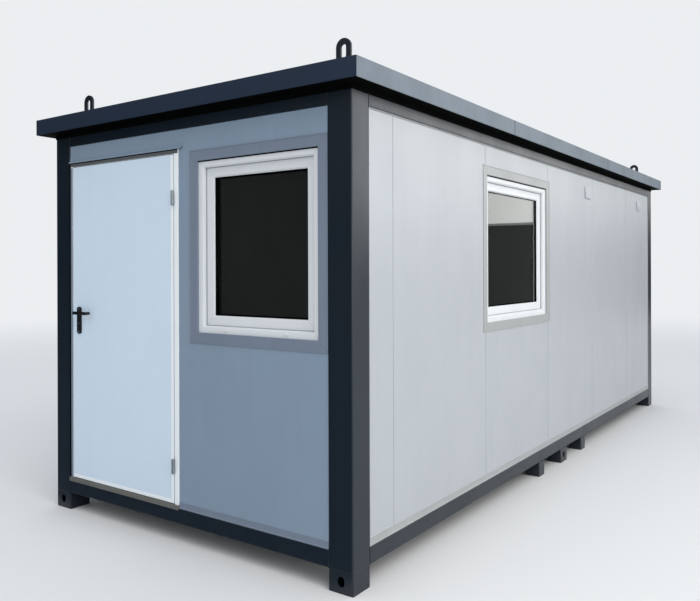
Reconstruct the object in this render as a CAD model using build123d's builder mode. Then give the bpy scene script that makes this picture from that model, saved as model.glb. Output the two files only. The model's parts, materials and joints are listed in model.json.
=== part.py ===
# Portable site cabin: a steel frame on six feet, sandwich wall panels, a door and two windows.
# Millimetres. The origin is on the ground below the middle of the cabin. The door end faces -Y,
# the long wall with the window faces +X, and +Z is up.
import os
from math import ceil

from build123d import *

os.makedirs("parts", exist_ok=True)

# Overall size, over the corner posts and from the ground to the top of the fascia
LENGTH = 6055.0
WIDTH = 2435.0
HEIGHT = 2591.0

# Corner posts and feet
POST_SIZE = 150.0
POST_WALL = 4.0
POST_CORNER_RADIUS = 8.0
FOOT_HEIGHT = 110.0
FOOT_PLATE = 8.0
FOOT_HOLE_WIDTH = 42.0
FOOT_HOLE_HEIGHT = 52.0
FOOT_HOLE_LEVEL = 58.0
FOOT_HOLE_FROM_CORNER = 73.0
MID_FOOT_LENGTH = 150.0
MID_FOOT_DEPTH = 110.0
POCKET_FOOT_LENGTH = 110.0
POCKET_FOOT_SPACING = 500.0

# Rails, joists and purlins
BASE_RAIL_HEIGHT = 90.0
ROOF_RAIL_HEIGHT = 158.0
RAIL_WALL = 4.0
RAIL_CORNER_RADIUS = 6.0
JOIST_WIDTH = 50.0
JOIST_WALL = 3.0
JOIST_SPACING = 600.0
PURLIN_WIDTH = 50.0
PURLIN_SPACING = 1150.0

# Wall, floor, ceiling and roof sheets
WALL_THICKNESS = 60.0
WALL_INSET = 6.0
PANEL_WIDTH = 1150.0
PANEL_START = 233.0
PANEL_JOINT = 3.0
FLOOR_BOARD = 22.0
CEILING_BOARD = 18.0
ROOF_SHEET = 3.0
ROOF_TOP_BELOW_FASCIA = 31.0
ROOF_RIB_HEIGHT = 16.0
ROOF_RIB_WIDTH = 40.0
ROOF_RIB_SPACING = 500.0
ROOF_RIB_TAPER = 30.0
BASE_FLASHING_HEIGHT = 36.0
BASE_FLASHING_REACH = 4.0
FLASHING_SHEET = 2.0
FLASHING_TOE = 5.0

# Fascia round the roof
FASCIA_HEIGHT = 100.0
FASCIA_OVERHANG = 90.0
FASCIA_SHEET = 3.0
FASCIA_TOP_WIDTH = 175.0
FASCIA_FIRST_JOINT = 1800.0
FASCIA_SHEET_LENGTH = 2200.0
FASCIA_JOINT = 1.5

# Lifting lugs
LUG_WIDTH = 94.0
LUG_THICKNESS = 13.0
LUG_RISE = 181.0
LUG_HOLE_WIDTH = 32.0
LUG_HOLE_HEIGHT = 75.0
LUG_HOLE_FROM_SIDE = 152.0
LUG_FROM_END = 150.0
LUG_BASE_MARGIN = 8.0
LUG_BASE_THICKNESS = 10.0
LUG_BASE_CLEARANCE = 10.0

# Door, whose leaf fills the height between the threshold and the header over the doorway
HEADER_HEIGHT = 112.0
DOOR_LEAF_WIDTH = 973.0
DOOR_LEAF_THICKNESS = 45.0
DOOR_EDGE_RADIUS = 1.5
DOOR_GAP = 5.0
JAMB_HINGE_SIDE = 34.0
JAMB_LOCK_SIDE = 34.0
DOOR_HEAD = 25.0
DOOR_FRAME_DEPTH = 72.0
DOOR_STOP = 15.0
FRAME_MITRE_GAP = 0.3
THRESHOLD_HEIGHT = 18.0
THRESHOLD_LIP = 8.0
THRESHOLD_LIP_DROP = 8.0
DRIP_CAP_OVERRUN = 34.0
DRIP_CAP_REACH = 12.0
DRIP_CAP_HEIGHT = 30.0
DRIP_CAP_DROP = 6.0

# Door hinges
HINGE_FROM_LEAF_BOTTOM = 218.0
HINGE_FROM_LEAF_TOP = 254.5
HINGE_HEIGHT = 80.0
HINGE_RADIUS = 8.5
HINGE_PIN_RADIUS = 4.5
HINGE_PIN_CLEARANCE = 0.05
HINGE_PIN_RISE = 32.0
HINGE_SEAT = 0.3
HINGE_PIN_OUT = 11.0
HINGE_LUG_WIDTH = 6.0

# Door handle and lock
LEVER_ABOVE_FLOOR = 1107.0
CYLINDER_BELOW_LEVER = 70.0
HANDLE_FROM_EDGE = 68.0
PLATE_WIDTH = 42.0
PLATE_HEIGHT = 176.0
PLATE_THICKNESS = 8.0
PLATE_CORNER_RADIUS = 17.0
PLATE_TOP_ABOVE_LEVER = 38.5
SPINDLE_RADIUS = 6.0
SPINDLE_CLEARANCE = 3.0
LEVER_NECK_RADIUS = 9.0
LEVER_GAP = 0.5
LEVER_REACH = 50.0
LEVER_LENGTH = 142.0
LEVER_GRIP_HEIGHT = 20.0
LEVER_GRIP_THICKNESS = 12.0
LEVER_RETURN = 20.0
CYLINDER_RADIUS = 8.5
CYLINDER_CLEARANCE = 0.3
CYLINDER_PROUD = 4.0

# Windows: the front one fills its wall between two margins, the side one fills its panel
WINDOW_HEIGHT = 980.0
WINDOW_TOP_BELOW_RAIL = 194.0
FRONT_WINDOW_FROM_POST = 60.0
FRONT_WINDOW_FROM_DOORWAY = 154.0
SIDE_WINDOW_MARGIN = 25.0
SIDE_WINDOW_FROM_CORNER = 2100.0
FRAME_RECESS = 10.0
FRAME_FACE = 42.0
FRAME_BEVEL = 8.0
FRAME_DEPTH = 66.0
FRAME_REBATE = 24.0
SASH_STEP = 25.0
SASH_CLEARANCE = 3.0
SASH_FACE = 58.0
SASH_BEVEL = 8.0
SASH_DEPTH = 50.0
GLASS_THICKNESS = 24.0
GLASS_STEP = 18.0
GLASS_BITE = 14.0
GLASS_EDGE_CLEARANCE = 3.0
TRIM_WIDTH = 60.0
TRIM_SHEET = 2.0
HANDLE_BASE_WIDTH = 28.0
HANDLE_BASE_HEIGHT = 65.0
HANDLE_BASE_THICKNESS = 10.0
HANDLE_STANDOFF = 52.0
HANDLE_GRIP_LENGTH = 120.0
HANDLE_GRIP_THICKNESS = 12.0
FRONT_HANDLE_BELOW_MIDDLE = 195.0
SIDE_HANDLE_BELOW_MIDDLE = 55.0

# Vent covers high on the window side, one near the front and one near the back
VENT_FROM_FRONT = 3698.0
VENT_FROM_BACK = 565.0
VENT_WIDTH = 165.0
VENT_HEIGHT = 100.0
VENT_DEPTH = 11.0
VENT_TOP_BELOW_RAIL = 92.0
VENT_TOP_DEPTH = 4.0
VENT_SHEET = 1.5

# Levels and planes worked out from the sizes above
HALF_L = LENGTH / 2
HALF_W = WIDTH / 2
FLOOR_LEVEL = FOOT_HEIGHT + BASE_RAIL_HEIGHT
FRAME_TOP = HEIGHT - ROOF_TOP_BELOW_FASCIA
CEILING_LEVEL = FRAME_TOP - ROOF_RAIL_HEIGHT
RAIL_DEPTH = WALL_INSET + WALL_THICKNESS
INNER_L = LENGTH - 2 * POST_SIZE
INNER_W = WIDTH - 2 * POST_SIZE
DOORWAY_WIDTH = DOOR_LEAF_WIDTH + 2 * DOOR_GAP + JAMB_HINGE_SIDE + JAMB_LOCK_SIDE
DOORWAY_LEFT = -HALF_W + POST_SIZE
DOORWAY_RIGHT = DOORWAY_LEFT + DOORWAY_WIDTH
LEAF_LEFT = DOORWAY_LEFT + JAMB_LOCK_SIDE + DOOR_GAP
LEAF_RIGHT = LEAF_LEFT + DOOR_LEAF_WIDTH
LEAF_BOTTOM = FLOOR_LEVEL + THRESHOLD_HEIGHT + DOOR_GAP
DOORWAY_TOP = CEILING_LEVEL - HEADER_HEIGHT
LEAF_TOP = DOORWAY_TOP - DOOR_HEAD - DOOR_GAP
FRONT_WALL_FACE = -HALF_L + WALL_INSET
RIGHT_WALL_FACE = HALF_W - WALL_INSET


def save(part, label):
    """Label a finished piece and write it to its own file."""
    part.label = label
    export_step(part, f"parts/{label}.step")


def slab(low, high):
    """A plain rectangular piece between two opposite corners."""
    size = [b - a for a, b in zip(low, high)]
    middle = tuple((a + b) / 2 for a, b in zip(low, high))
    with BuildPart() as piece:
        with Locations(middle):
            Box(*size)
    return piece.part


def spread(length, spacing):
    """Evenly spaced places along a length, no further apart than the spacing, clear of both ends."""
    bays = ceil(length / spacing)
    return [length * (k / bays - 0.5) for k in range(1, bays)]


def tube(plane, width, height, wall, radius, length):
    """A rolled hollow section with rounded corners, centred on a plane."""
    with BuildPart() as section:
        with BuildSketch(plane):
            RectangleRounded(width, height, radius)
            RectangleRounded(width - 2 * wall, height - 2 * wall, radius - wall / 2, mode=Mode.SUBTRACT)
        extrude(amount=length / 2, both=True)
    return section.part


# Corner posts: square hollow sections from the feet to the top of the frame
POST_LENGTH = FRAME_TOP - FOOT_HEIGHT
POST_CENTRE_X = HALF_W - POST_SIZE / 2
POST_CENTRE_Y = HALF_L - POST_SIZE / 2
CORNERS = {
    "front_left": (-1, -1),
    "front_right": (1, -1),
    "back_left": (-1, 1),
    "back_right": (1, 1),
}
for corner, (side, end) in CORNERS.items():
    centre = (side * POST_CENTRE_X, end * POST_CENTRE_Y, FOOT_HEIGHT + POST_LENGTH / 2)
    post = tube(Plane(centre), POST_SIZE, POST_SIZE, POST_WALL, POST_CORNER_RADIUS, POST_LENGTH)
    save(post, f"corner_post_{corner}")

# Corner feet: welded boxes below the posts, with an oval lashing hole in each end face
FOOT_HOLE_OFFSET = POST_CENTRE_X - (HALF_W - FOOT_HOLE_FROM_CORNER)
with BuildPart() as corner_feet:
    for side, end in CORNERS.values():
        x, y = side * POST_CENTRE_X, end * POST_CENTRE_Y
        with BuildSketch(Plane((x, y, 0))):
            RectangleRounded(POST_SIZE, POST_SIZE, POST_CORNER_RADIUS)
        extrude(amount=FOOT_HEIGHT)
        with BuildSketch(Plane((x, y, FOOT_PLATE))):
            Rectangle(POST_SIZE - 2 * FOOT_PLATE, POST_SIZE - 2 * FOOT_PLATE)
        extrude(amount=FOOT_HEIGHT - 2 * FOOT_PLATE, mode=Mode.SUBTRACT)
        hole_x = x - side * FOOT_HOLE_OFFSET
        with BuildSketch(Plane((hole_x, end * HALF_L, FOOT_HOLE_LEVEL), (1, 0, 0), (0, end, 0))):
            SlotOverall(FOOT_HOLE_HEIGHT, FOOT_HOLE_WIDTH, rotation=90)
        extrude(amount=-2 * FOOT_PLATE, mode=Mode.SUBTRACT)
save(corner_feet.part, "corner_feet")

# Middle feet: the same boxes under the long rails, with the oval hole in the outer face
MID_FOOT_X = HALF_W - MID_FOOT_DEPTH / 2
with BuildPart() as mid_feet:
    for side in (-1, 1):
        with BuildSketch(Plane((side * MID_FOOT_X, 0, 0))):
            RectangleRounded(MID_FOOT_DEPTH, MID_FOOT_LENGTH, POST_CORNER_RADIUS)
        extrude(amount=FOOT_HEIGHT)
        with BuildSketch(Plane((side * MID_FOOT_X, 0, FOOT_PLATE))):
            Rectangle(MID_FOOT_DEPTH - 2 * FOOT_PLATE, MID_FOOT_LENGTH - 2 * FOOT_PLATE)
        extrude(amount=FOOT_HEIGHT - 2 * FOOT_PLATE, mode=Mode.SUBTRACT)
        with BuildSketch(Plane((side * HALF_W, 0, FOOT_HOLE_LEVEL), (0, 1, 0), (side, 0, 0))):
            SlotOverall(FOOT_HOLE_HEIGHT, FOOT_HOLE_WIDTH, rotation=90)
        extrude(amount=-2 * FOOT_PLATE, mode=Mode.SUBTRACT)
save(mid_feet.part, "mid_feet")

# Pocket feet: plain blocks on both sides of each middle foot, which leave openings for lifting forks
with BuildPart() as pocket_feet:
    for side, end in CORNERS.values():
        with BuildSketch(Plane((side * MID_FOOT_X, end * POCKET_FOOT_SPACING, 0))):
            RectangleRounded(MID_FOOT_DEPTH, POCKET_FOOT_LENGTH, POST_CORNER_RADIUS)
        extrude(amount=FOOT_HEIGHT)
save(pocket_feet.part, "pocket_feet")


def rail_pair(across, level, height, label):
    """Two equal rails between the posts: across the ends of the cabin, or along its sides."""
    middle = level + height / 2
    with BuildPart() as rails:
        for side in (-1, 1):
            if across:
                plane = Plane((0, side * (HALF_L - RAIL_DEPTH / 2), middle), (0, 1, 0), (1, 0, 0))
                length = INNER_W
            else:
                plane = Plane((side * (HALF_W - RAIL_DEPTH / 2), 0, middle), (1, 0, 0), (0, -1, 0))
                length = INNER_L
            add(tube(plane, RAIL_DEPTH, height, RAIL_WALL, RAIL_CORNER_RADIUS, length))
    save(rails.part, label)


rail_pair(True, FOOT_HEIGHT, BASE_RAIL_HEIGHT, "base_end_rails")
rail_pair(False, FOOT_HEIGHT, BASE_RAIL_HEIGHT, "base_side_rails")
rail_pair(True, CEILING_LEVEL, ROOF_RAIL_HEIGHT, "roof_end_rails")
rail_pair(False, CEILING_LEVEL, ROOF_RAIL_HEIGHT, "roof_side_rails")

# Floor joists and roof purlins: hollow bars from side rail to side rail
BETWEEN_RAILS_W = WIDTH - 2 * RAIL_DEPTH
BETWEEN_RAILS_L = LENGTH - 2 * RAIL_DEPTH
JOIST_HEIGHT = BASE_RAIL_HEIGHT - FLOOR_BOARD
PURLIN_HEIGHT = ROOF_RAIL_HEIGHT - CEILING_BOARD


def cross_bars(width, height, level, spacing, label):
    """Hollow bars across the cabin, spread evenly along it."""
    with BuildPart() as bars:
        for y in spread(LENGTH, spacing):
            plane = Plane((0, y, level + height / 2), (0, 1, 0), (1, 0, 0))
            add(tube(plane, width, height, JOIST_WALL, JOIST_WALL, BETWEEN_RAILS_W))
    save(bars.part, label)


cross_bars(JOIST_WIDTH, JOIST_HEIGHT, FOOT_HEIGHT, JOIST_SPACING, "floor_joists")
cross_bars(PURLIN_WIDTH, PURLIN_HEIGHT, CEILING_LEVEL + CEILING_BOARD, PURLIN_SPACING, "roof_purlins")


def inner_board(level, thickness, label):
    """A board that fills the frame between the rails, notched round the corner posts."""
    with BuildPart() as board:
        with BuildSketch(Plane.XY.offset(level)):
            Rectangle(BETWEEN_RAILS_W, BETWEEN_RAILS_L)
            with Locations(*[(side * POST_CENTRE_X, end * POST_CENTRE_Y) for side, end in CORNERS.values()]):
                Rectangle(POST_SIZE, POST_SIZE, mode=Mode.SUBTRACT)
        extrude(amount=thickness)
    save(board.part, label)


inner_board(FLOOR_LEVEL - FLOOR_BOARD, FLOOR_BOARD, "floor_board")
inner_board(CEILING_LEVEL, CEILING_BOARD, "ceiling_panel")

# Roof sheet: flat, with raised ribs across it, notched round the lug plates at the corners
LUG_BASE_SIZE = LUG_HOLE_FROM_SIDE + LUG_WIDTH / 2 + LUG_BASE_MARGIN
ROOF_NOTCH = LUG_BASE_SIZE + LUG_BASE_CLEARANCE
RIB_LENGTH = WIDTH - 2 * ROOF_NOTCH
with BuildPart() as roof_sheet:
    with BuildSketch(Plane.XY.offset(FRAME_TOP)):
        Rectangle(WIDTH, LENGTH)
        with Locations(*[(side * HALF_W, end * HALF_L) for side, end in CORNERS.values()]):
            Rectangle(2 * ROOF_NOTCH, 2 * ROOF_NOTCH, mode=Mode.SUBTRACT)
    extrude(amount=ROOF_SHEET)
    with BuildSketch(Plane.XY.offset(FRAME_TOP + ROOF_SHEET)):
        with Locations(*[(0, y) for y in spread(LENGTH, ROOF_RIB_SPACING)]):
            Rectangle(RIB_LENGTH, ROOF_RIB_WIDTH)
    extrude(amount=ROOF_RIB_HEIGHT, taper=ROOF_RIB_TAPER)
save(roof_sheet.part, "roof_sheet")

# Fascia: folded channels round the roof, standing off the rails by the overhang
FASCIA_BOTTOM = HEIGHT - FASCIA_HEIGHT
FASCIA_JOINTS = ceil((LENGTH - FASCIA_FIRST_JOINT) / FASCIA_SHEET_LENGTH)


def fascia_channel(plane, web_length, flange_length, top_length):
    """One side of the fascia: a web, a wide top flange and a bottom flange that meets the rail.

    The plane lies at the bottom of the fascia on the outer face of the frame, with its normal
    outward and its X axis along the side.
    """
    top = FASCIA_HEIGHT - FASCIA_SHEET
    with BuildPart() as channel:
        with BuildSketch(plane.offset(FASCIA_OVERHANG)):
            with Locations((0, FASCIA_HEIGHT / 2)):
                Rectangle(web_length, FASCIA_HEIGHT)
        extrude(amount=-FASCIA_SHEET)
        with BuildSketch(plane):
            with Locations((0, FASCIA_SHEET / 2)):
                Rectangle(flange_length, FASCIA_SHEET)
        extrude(amount=FASCIA_OVERHANG - FASCIA_SHEET)
        with BuildSketch(plane.offset(FASCIA_OVERHANG - FASCIA_SHEET)):
            with Locations((0, top + FASCIA_SHEET / 2)):
                Rectangle(top_length, FASCIA_SHEET)
        extrude(amount=-(FASCIA_TOP_WIDTH - FASCIA_SHEET))
    return channel.part


def fascia_end(end):
    """The fascia over one end wall, which covers the corners."""
    plane = Plane((0, end * HALF_L, FASCIA_BOTTOM), (-end, 0, 0), (0, end, 0))
    web = WIDTH + 2 * FASCIA_OVERHANG
    flange = web - 2 * FASCIA_SHEET
    return fascia_channel(plane, web, flange, flange)


def fascia_side(side):
    """The fascia over one long wall, in lengths with narrow joints."""
    plane = Plane((side * HALF_W, 0, FASCIA_BOTTOM), (0, side, 0), (side, 0, 0))
    web = LENGTH + 2 * (FASCIA_OVERHANG - FASCIA_SHEET)
    top = LENGTH + 2 * (FASCIA_OVERHANG - FASCIA_TOP_WIDTH)
    joints = [FASCIA_FIRST_JOINT + k * FASCIA_SHEET_LENGTH - HALF_L for k in range(FASCIA_JOINTS)]
    with BuildPart() as channel:
        add(fascia_channel(plane, web, LENGTH, top))
        with Locations(*[(side * HALF_W, y, HEIGHT) for y in joints]):
            Box(3 * FASCIA_TOP_WIDTH, FASCIA_JOINT, 3 * FASCIA_HEIGHT, mode=Mode.SUBTRACT)
    return channel.part


save(fascia_end(-1), "fascia_front")
save(fascia_end(1), "fascia_back")
save(fascia_side(-1), "fascia_left")
save(fascia_side(1), "fascia_right")

# Lifting lugs: a round-topped plate with a long hole, on a base plate over each corner of the frame
LUG_HOLE_LEVEL = HEIGHT + LUG_RISE - LUG_WIDTH / 2
with BuildPart() as lifting_lugs:
    for side, end in CORNERS.values():
        with BuildSketch(Plane.XY.offset(FRAME_TOP)):
            with Locations((side * (HALF_W - LUG_BASE_SIZE / 2), end * (HALF_L - LUG_BASE_SIZE / 2))):
                Rectangle(LUG_BASE_SIZE, LUG_BASE_SIZE)
        extrude(amount=LUG_BASE_THICKNESS)
        hole = (side * (HALF_W - LUG_HOLE_FROM_SIDE), end * (HALF_L - LUG_FROM_END), LUG_HOLE_LEVEL)
        with BuildSketch(Plane(hole, (1, 0, 0), (0, -1, 0))):
            Circle(LUG_WIDTH / 2)
            with Locations((0, (FRAME_TOP - LUG_HOLE_LEVEL) / 2)):
                Rectangle(LUG_WIDTH, LUG_HOLE_LEVEL - FRAME_TOP)
            with Locations((0, (LUG_HOLE_WIDTH - LUG_HOLE_HEIGHT) / 2)):
                SlotOverall(LUG_HOLE_HEIGHT, LUG_HOLE_WIDTH, rotation=90, mode=Mode.SUBTRACT)
        extrude(amount=LUG_THICKNESS / 2, both=True)
save(lifting_lugs.part, "lifting_lugs")

# Window places: planes on the outer faces of the walls, in the middle of each window
FULL_PANELS = int((INNER_L - PANEL_START - PANEL_JOINT) // PANEL_WIDTH)
PANEL_SEAMS = [PANEL_START - INNER_L / 2 + k * PANEL_WIDTH for k in range(FULL_PANELS + 1)]
PANEL_EDGES = [-INNER_L / 2, *PANEL_SEAMS, INNER_L / 2]
PANEL_SPANS = list(zip(PANEL_EDGES[:-1], PANEL_EDGES[1:]))
WINDOW_SPAN = [span for span in PANEL_SPANS if span[0] < SIDE_WINDOW_FROM_CORNER - HALF_L][-1]
SIDE_WINDOW_Y = sum(WINDOW_SPAN) / 2
SIDE_WINDOW_WIDTH = PANEL_WIDTH - 2 * SIDE_WINDOW_MARGIN
FRONT_WINDOW_RIGHT = HALF_W - POST_SIZE - FRONT_WINDOW_FROM_POST
FRONT_WINDOW_WIDTH = FRONT_WINDOW_RIGHT - DOORWAY_RIGHT - FRONT_WINDOW_FROM_DOORWAY
FRONT_WINDOW_X = FRONT_WINDOW_RIGHT - FRONT_WINDOW_WIDTH / 2
WINDOW_MIDDLE = CEILING_LEVEL - WINDOW_TOP_BELOW_RAIL - WINDOW_HEIGHT / 2
FRONT_WINDOW = Plane((FRONT_WINDOW_X, FRONT_WALL_FACE, WINDOW_MIDDLE), (1, 0, 0), (0, -1, 0))
SIDE_WINDOW = Plane((RIGHT_WALL_FACE, SIDE_WINDOW_Y, WINDOW_MIDDLE), (0, 1, 0), (1, 0, 0))


def cut_window(panel, plane, width):
    """The same panel with a window opening cut through it."""
    with BuildPart() as cut:
        add(panel)
        with BuildSketch(plane):
            Rectangle(width, WINDOW_HEIGHT)
        extrude(amount=-WALL_THICKNESS, mode=Mode.SUBTRACT)
    return cut.part


# Front wall: a window panel beside the doorway and a header over it
front_panel = slab(
    (DOORWAY_RIGHT, FRONT_WALL_FACE, FLOOR_LEVEL),
    (HALF_W - POST_SIZE, FRONT_WALL_FACE + WALL_THICKNESS, CEILING_LEVEL),
)
save(cut_window(front_panel, FRONT_WINDOW, FRONT_WINDOW_WIDTH), "front_wall_window_panel")
header = slab(
    (DOORWAY_LEFT, FRONT_WALL_FACE, DOORWAY_TOP),
    (DOORWAY_RIGHT, FRONT_WALL_FACE + WALL_THICKNESS, CEILING_LEVEL),
)
save(header, "front_wall_door_header")


def side_panel(side, start, finish):
    """One upright sandwich panel of a long wall, a joint's half-width short of each seam."""
    outer = side * (HALF_W - WALL_INSET)
    inner = side * (HALF_W - RAIL_DEPTH)
    return slab(
        (min(outer, inner), start + PANEL_JOINT / 2, FLOOR_LEVEL),
        (max(outer, inner), finish - PANEL_JOINT / 2, CEILING_LEVEL),
    )


with BuildPart() as right_wall_panels:
    for span in PANEL_SPANS:
        if span != WINDOW_SPAN:
            add(side_panel(1, *span))
save(right_wall_panels.part, "right_wall_panels")
window_panel = side_panel(1, *WINDOW_SPAN)
save(cut_window(window_panel, SIDE_WINDOW, SIDE_WINDOW_WIDTH), "right_wall_window_panel")

with BuildPart() as left_wall_panels:
    for span in PANEL_SPANS:
        add(side_panel(-1, *span))
save(left_wall_panels.part, "left_wall_panels")

# Back wall: equal panels between the posts
BACK_PANELS = ceil(INNER_W / PANEL_WIDTH)
BACK_PANEL_WIDTH = INNER_W / BACK_PANELS
with BuildPart() as back_wall_panels:
    for k in range(BACK_PANELS):
        x = -INNER_W / 2 + k * BACK_PANEL_WIDTH
        panel = slab(
            (x + PANEL_JOINT / 2, HALF_L - RAIL_DEPTH, FLOOR_LEVEL),
            (x + BACK_PANEL_WIDTH - PANEL_JOINT / 2, HALF_L - WALL_INSET, CEILING_LEVEL),
        )
        add(panel)
save(back_wall_panels.part, "back_wall_panels")


def flashing_strip(plane, length):
    """A folded strip at the foot of a wall: flat on the panel, with a toe over the rail.

    The plane stands at one end of the strip, with X outward from the wall face and Y up.
    """
    with BuildPart() as strip:
        with BuildSketch(plane):
            with BuildLine():
                Polyline(
                    (0, 0),
                    (BASE_FLASHING_REACH, 0),
                    (BASE_FLASHING_REACH, FLASHING_TOE),
                    (FLASHING_SHEET, FLASHING_TOE + BASE_FLASHING_REACH),
                    (FLASHING_SHEET, BASE_FLASHING_HEIGHT),
                    (0, BASE_FLASHING_HEIGHT),
                    close=True,
                )
            make_face()
        extrude(amount=length)
    return strip.part


# Wall-base flashing on the rails: along both sides, and on the ends at the back and beside the door
with BuildPart() as side_base_flashing:
    add(flashing_strip(Plane((RIGHT_WALL_FACE, INNER_L / 2, FLOOR_LEVEL), (1, 0, 0), (0, -1, 0)), INNER_L))
    add(flashing_strip(Plane((-RIGHT_WALL_FACE, -INNER_L / 2, FLOOR_LEVEL), (-1, 0, 0), (0, 1, 0)), INNER_L))
save(side_base_flashing.part, "side_base_flashing")

FRONT_WALL_END = INNER_W / 2
with BuildPart() as end_base_flashing:
    add(flashing_strip(Plane((-INNER_W / 2, -FRONT_WALL_FACE, FLOOR_LEVEL), (0, 1, 0), (1, 0, 0)), INNER_W))
    front_end = Plane((FRONT_WALL_END, FRONT_WALL_FACE, FLOOR_LEVEL), (0, -1, 0), (-1, 0, 0))
    add(flashing_strip(front_end, FRONT_WALL_END - DOORWAY_RIGHT))
save(end_base_flashing.part, "end_base_flashing")

# Door frame: two jambs and a head, each with a stop behind the leaf
FRAME_FOOT = FLOOR_LEVEL + THRESHOLD_HEIGHT
STOP_FRONT = -HALF_L + DOOR_LEAF_THICKNESS + DOOR_GAP
FRAME_BACK = -HALF_L + DOOR_FRAME_DEPTH


def frame_member(low, high, stop_low, stop_high):
    """One straight member of the door frame with its stop."""
    with BuildPart() as member:
        add(slab(low, high))
        add(slab(stop_low, stop_high))
    return member.part


LOCK_JAMB_EDGE = DOORWAY_LEFT + JAMB_LOCK_SIDE
HINGE_JAMB_EDGE = DOORWAY_RIGHT - JAMB_HINGE_SIDE
HEAD_EDGE = DOORWAY_TOP - DOOR_HEAD
lock_jamb = frame_member(
    (DOORWAY_LEFT, -HALF_L, FRAME_FOOT),
    (LOCK_JAMB_EDGE, FRAME_BACK, DOORWAY_TOP),
    (DOORWAY_LEFT, STOP_FRONT, FRAME_FOOT),
    (LOCK_JAMB_EDGE + DOOR_STOP, FRAME_BACK, DOORWAY_TOP),
)
hinge_jamb = frame_member(
    (HINGE_JAMB_EDGE, -HALF_L, FRAME_FOOT),
    (DOORWAY_RIGHT, FRAME_BACK, DOORWAY_TOP),
    (HINGE_JAMB_EDGE - DOOR_STOP, STOP_FRONT, FRAME_FOOT),
    (DOORWAY_RIGHT, FRAME_BACK, DOORWAY_TOP),
)
HEAD_STOP_FRONT = STOP_FRONT - FRAME_MITRE_GAP
head = frame_member(
    (LOCK_JAMB_EDGE + FRAME_MITRE_GAP, -HALF_L, HEAD_EDGE),
    (HINGE_JAMB_EDGE - FRAME_MITRE_GAP, HEAD_STOP_FRONT, DOORWAY_TOP),
    (LOCK_JAMB_EDGE + DOOR_STOP + FRAME_MITRE_GAP, HEAD_STOP_FRONT, HEAD_EDGE - DOOR_STOP),
    (HINGE_JAMB_EDGE - DOOR_STOP - FRAME_MITRE_GAP, FRAME_BACK, DOORWAY_TOP),
)
with BuildPart() as door_frame:
    add(lock_jamb)
    add(hinge_jamb)
    add(head)
save(door_frame.part, "door_frame")

# Door threshold: a low sill on the rail, with a lip in front of it that hangs over the rail's face
LIP_FRONT = -HALF_L - THRESHOLD_LIP
LIP_FOOT = FLOOR_LEVEL - THRESHOLD_LIP_DROP
with BuildPart() as door_threshold:
    add(slab((DOORWAY_LEFT, LIP_FRONT, FLOOR_LEVEL), (DOORWAY_RIGHT, FRAME_BACK, FRAME_FOOT)))
    add(slab((DOORWAY_LEFT, LIP_FRONT, LIP_FOOT), (DOORWAY_RIGHT, -HALF_L, FLOOR_LEVEL)))
save(door_threshold.part, "door_threshold")

# Drip cap over the door: a folded strip on the header with a short drop to the top of the doorway
DRIP_CAP_FOLD = DOORWAY_TOP + DRIP_CAP_DROP
with BuildPart() as door_drip_cap:
    with BuildSketch(Plane((DOORWAY_LEFT, FRONT_WALL_FACE, DRIP_CAP_FOLD), (0, -1, 0), (-1, 0, 0))):
        with BuildLine():
            Polyline(
                (0, 2 * FLASHING_SHEET),
                (DRIP_CAP_REACH - FLASHING_SHEET, 0),
                (DRIP_CAP_REACH - FLASHING_SHEET, -DRIP_CAP_DROP),
                (DRIP_CAP_REACH, -DRIP_CAP_DROP),
                (DRIP_CAP_REACH, FLASHING_SHEET),
                (FLASHING_SHEET, DRIP_CAP_REACH / 2),
                (FLASHING_SHEET, DRIP_CAP_HEIGHT),
                (0, DRIP_CAP_HEIGHT),
                close=True,
            )
        make_face()
    extrude(amount=-(DOORWAY_WIDTH + DRIP_CAP_OVERRUN))
save(door_drip_cap.part, "door_drip_cap")

# Door leaf: flush with the frame, with holes for the lever spindle and the lock cylinder
HANDLE_X = LEAF_LEFT + HANDLE_FROM_EDGE
LEVER_LEVEL = FLOOR_LEVEL + LEVER_ABOVE_FLOOR
CYLINDER_LEVEL = LEVER_LEVEL - CYLINDER_BELOW_LEVER
PLATE_MIDDLE_LEVEL = LEVER_LEVEL + PLATE_TOP_ABOVE_LEVER - PLATE_HEIGHT / 2
LEAF_BACK = -HALF_L + DOOR_LEAF_THICKNESS
LEVER_PLANE = Plane((HANDLE_X, -HALF_L, LEVER_LEVEL), (1, 0, 0), (0, -1, 0))
CYLINDER_PLANE = Plane((HANDLE_X, -HALF_L, CYLINDER_LEVEL), (1, 0, 0), (0, -1, 0))
PLATE_PLANE = Plane((HANDLE_X, -HALF_L, PLATE_MIDDLE_LEVEL), (1, 0, 0), (0, -1, 0))
with BuildPart() as door_leaf:
    add(slab((LEAF_LEFT, -HALF_L, LEAF_BOTTOM), (LEAF_RIGHT, LEAF_BACK, LEAF_TOP)))
    fillet(door_leaf.edges().filter_by(Axis.Z), radius=DOOR_EDGE_RADIUS)
    with BuildSketch(LEVER_PLANE):
        Circle(SPINDLE_RADIUS + SPINDLE_CLEARANCE)
    extrude(amount=-DOOR_LEAF_THICKNESS, mode=Mode.SUBTRACT)
    with BuildSketch(CYLINDER_PLANE):
        Circle(CYLINDER_RADIUS + CYLINDER_CLEARANCE)
    extrude(amount=-DOOR_LEAF_THICKNESS, mode=Mode.SUBTRACT)
save(door_leaf.part, "door_leaf")

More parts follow.
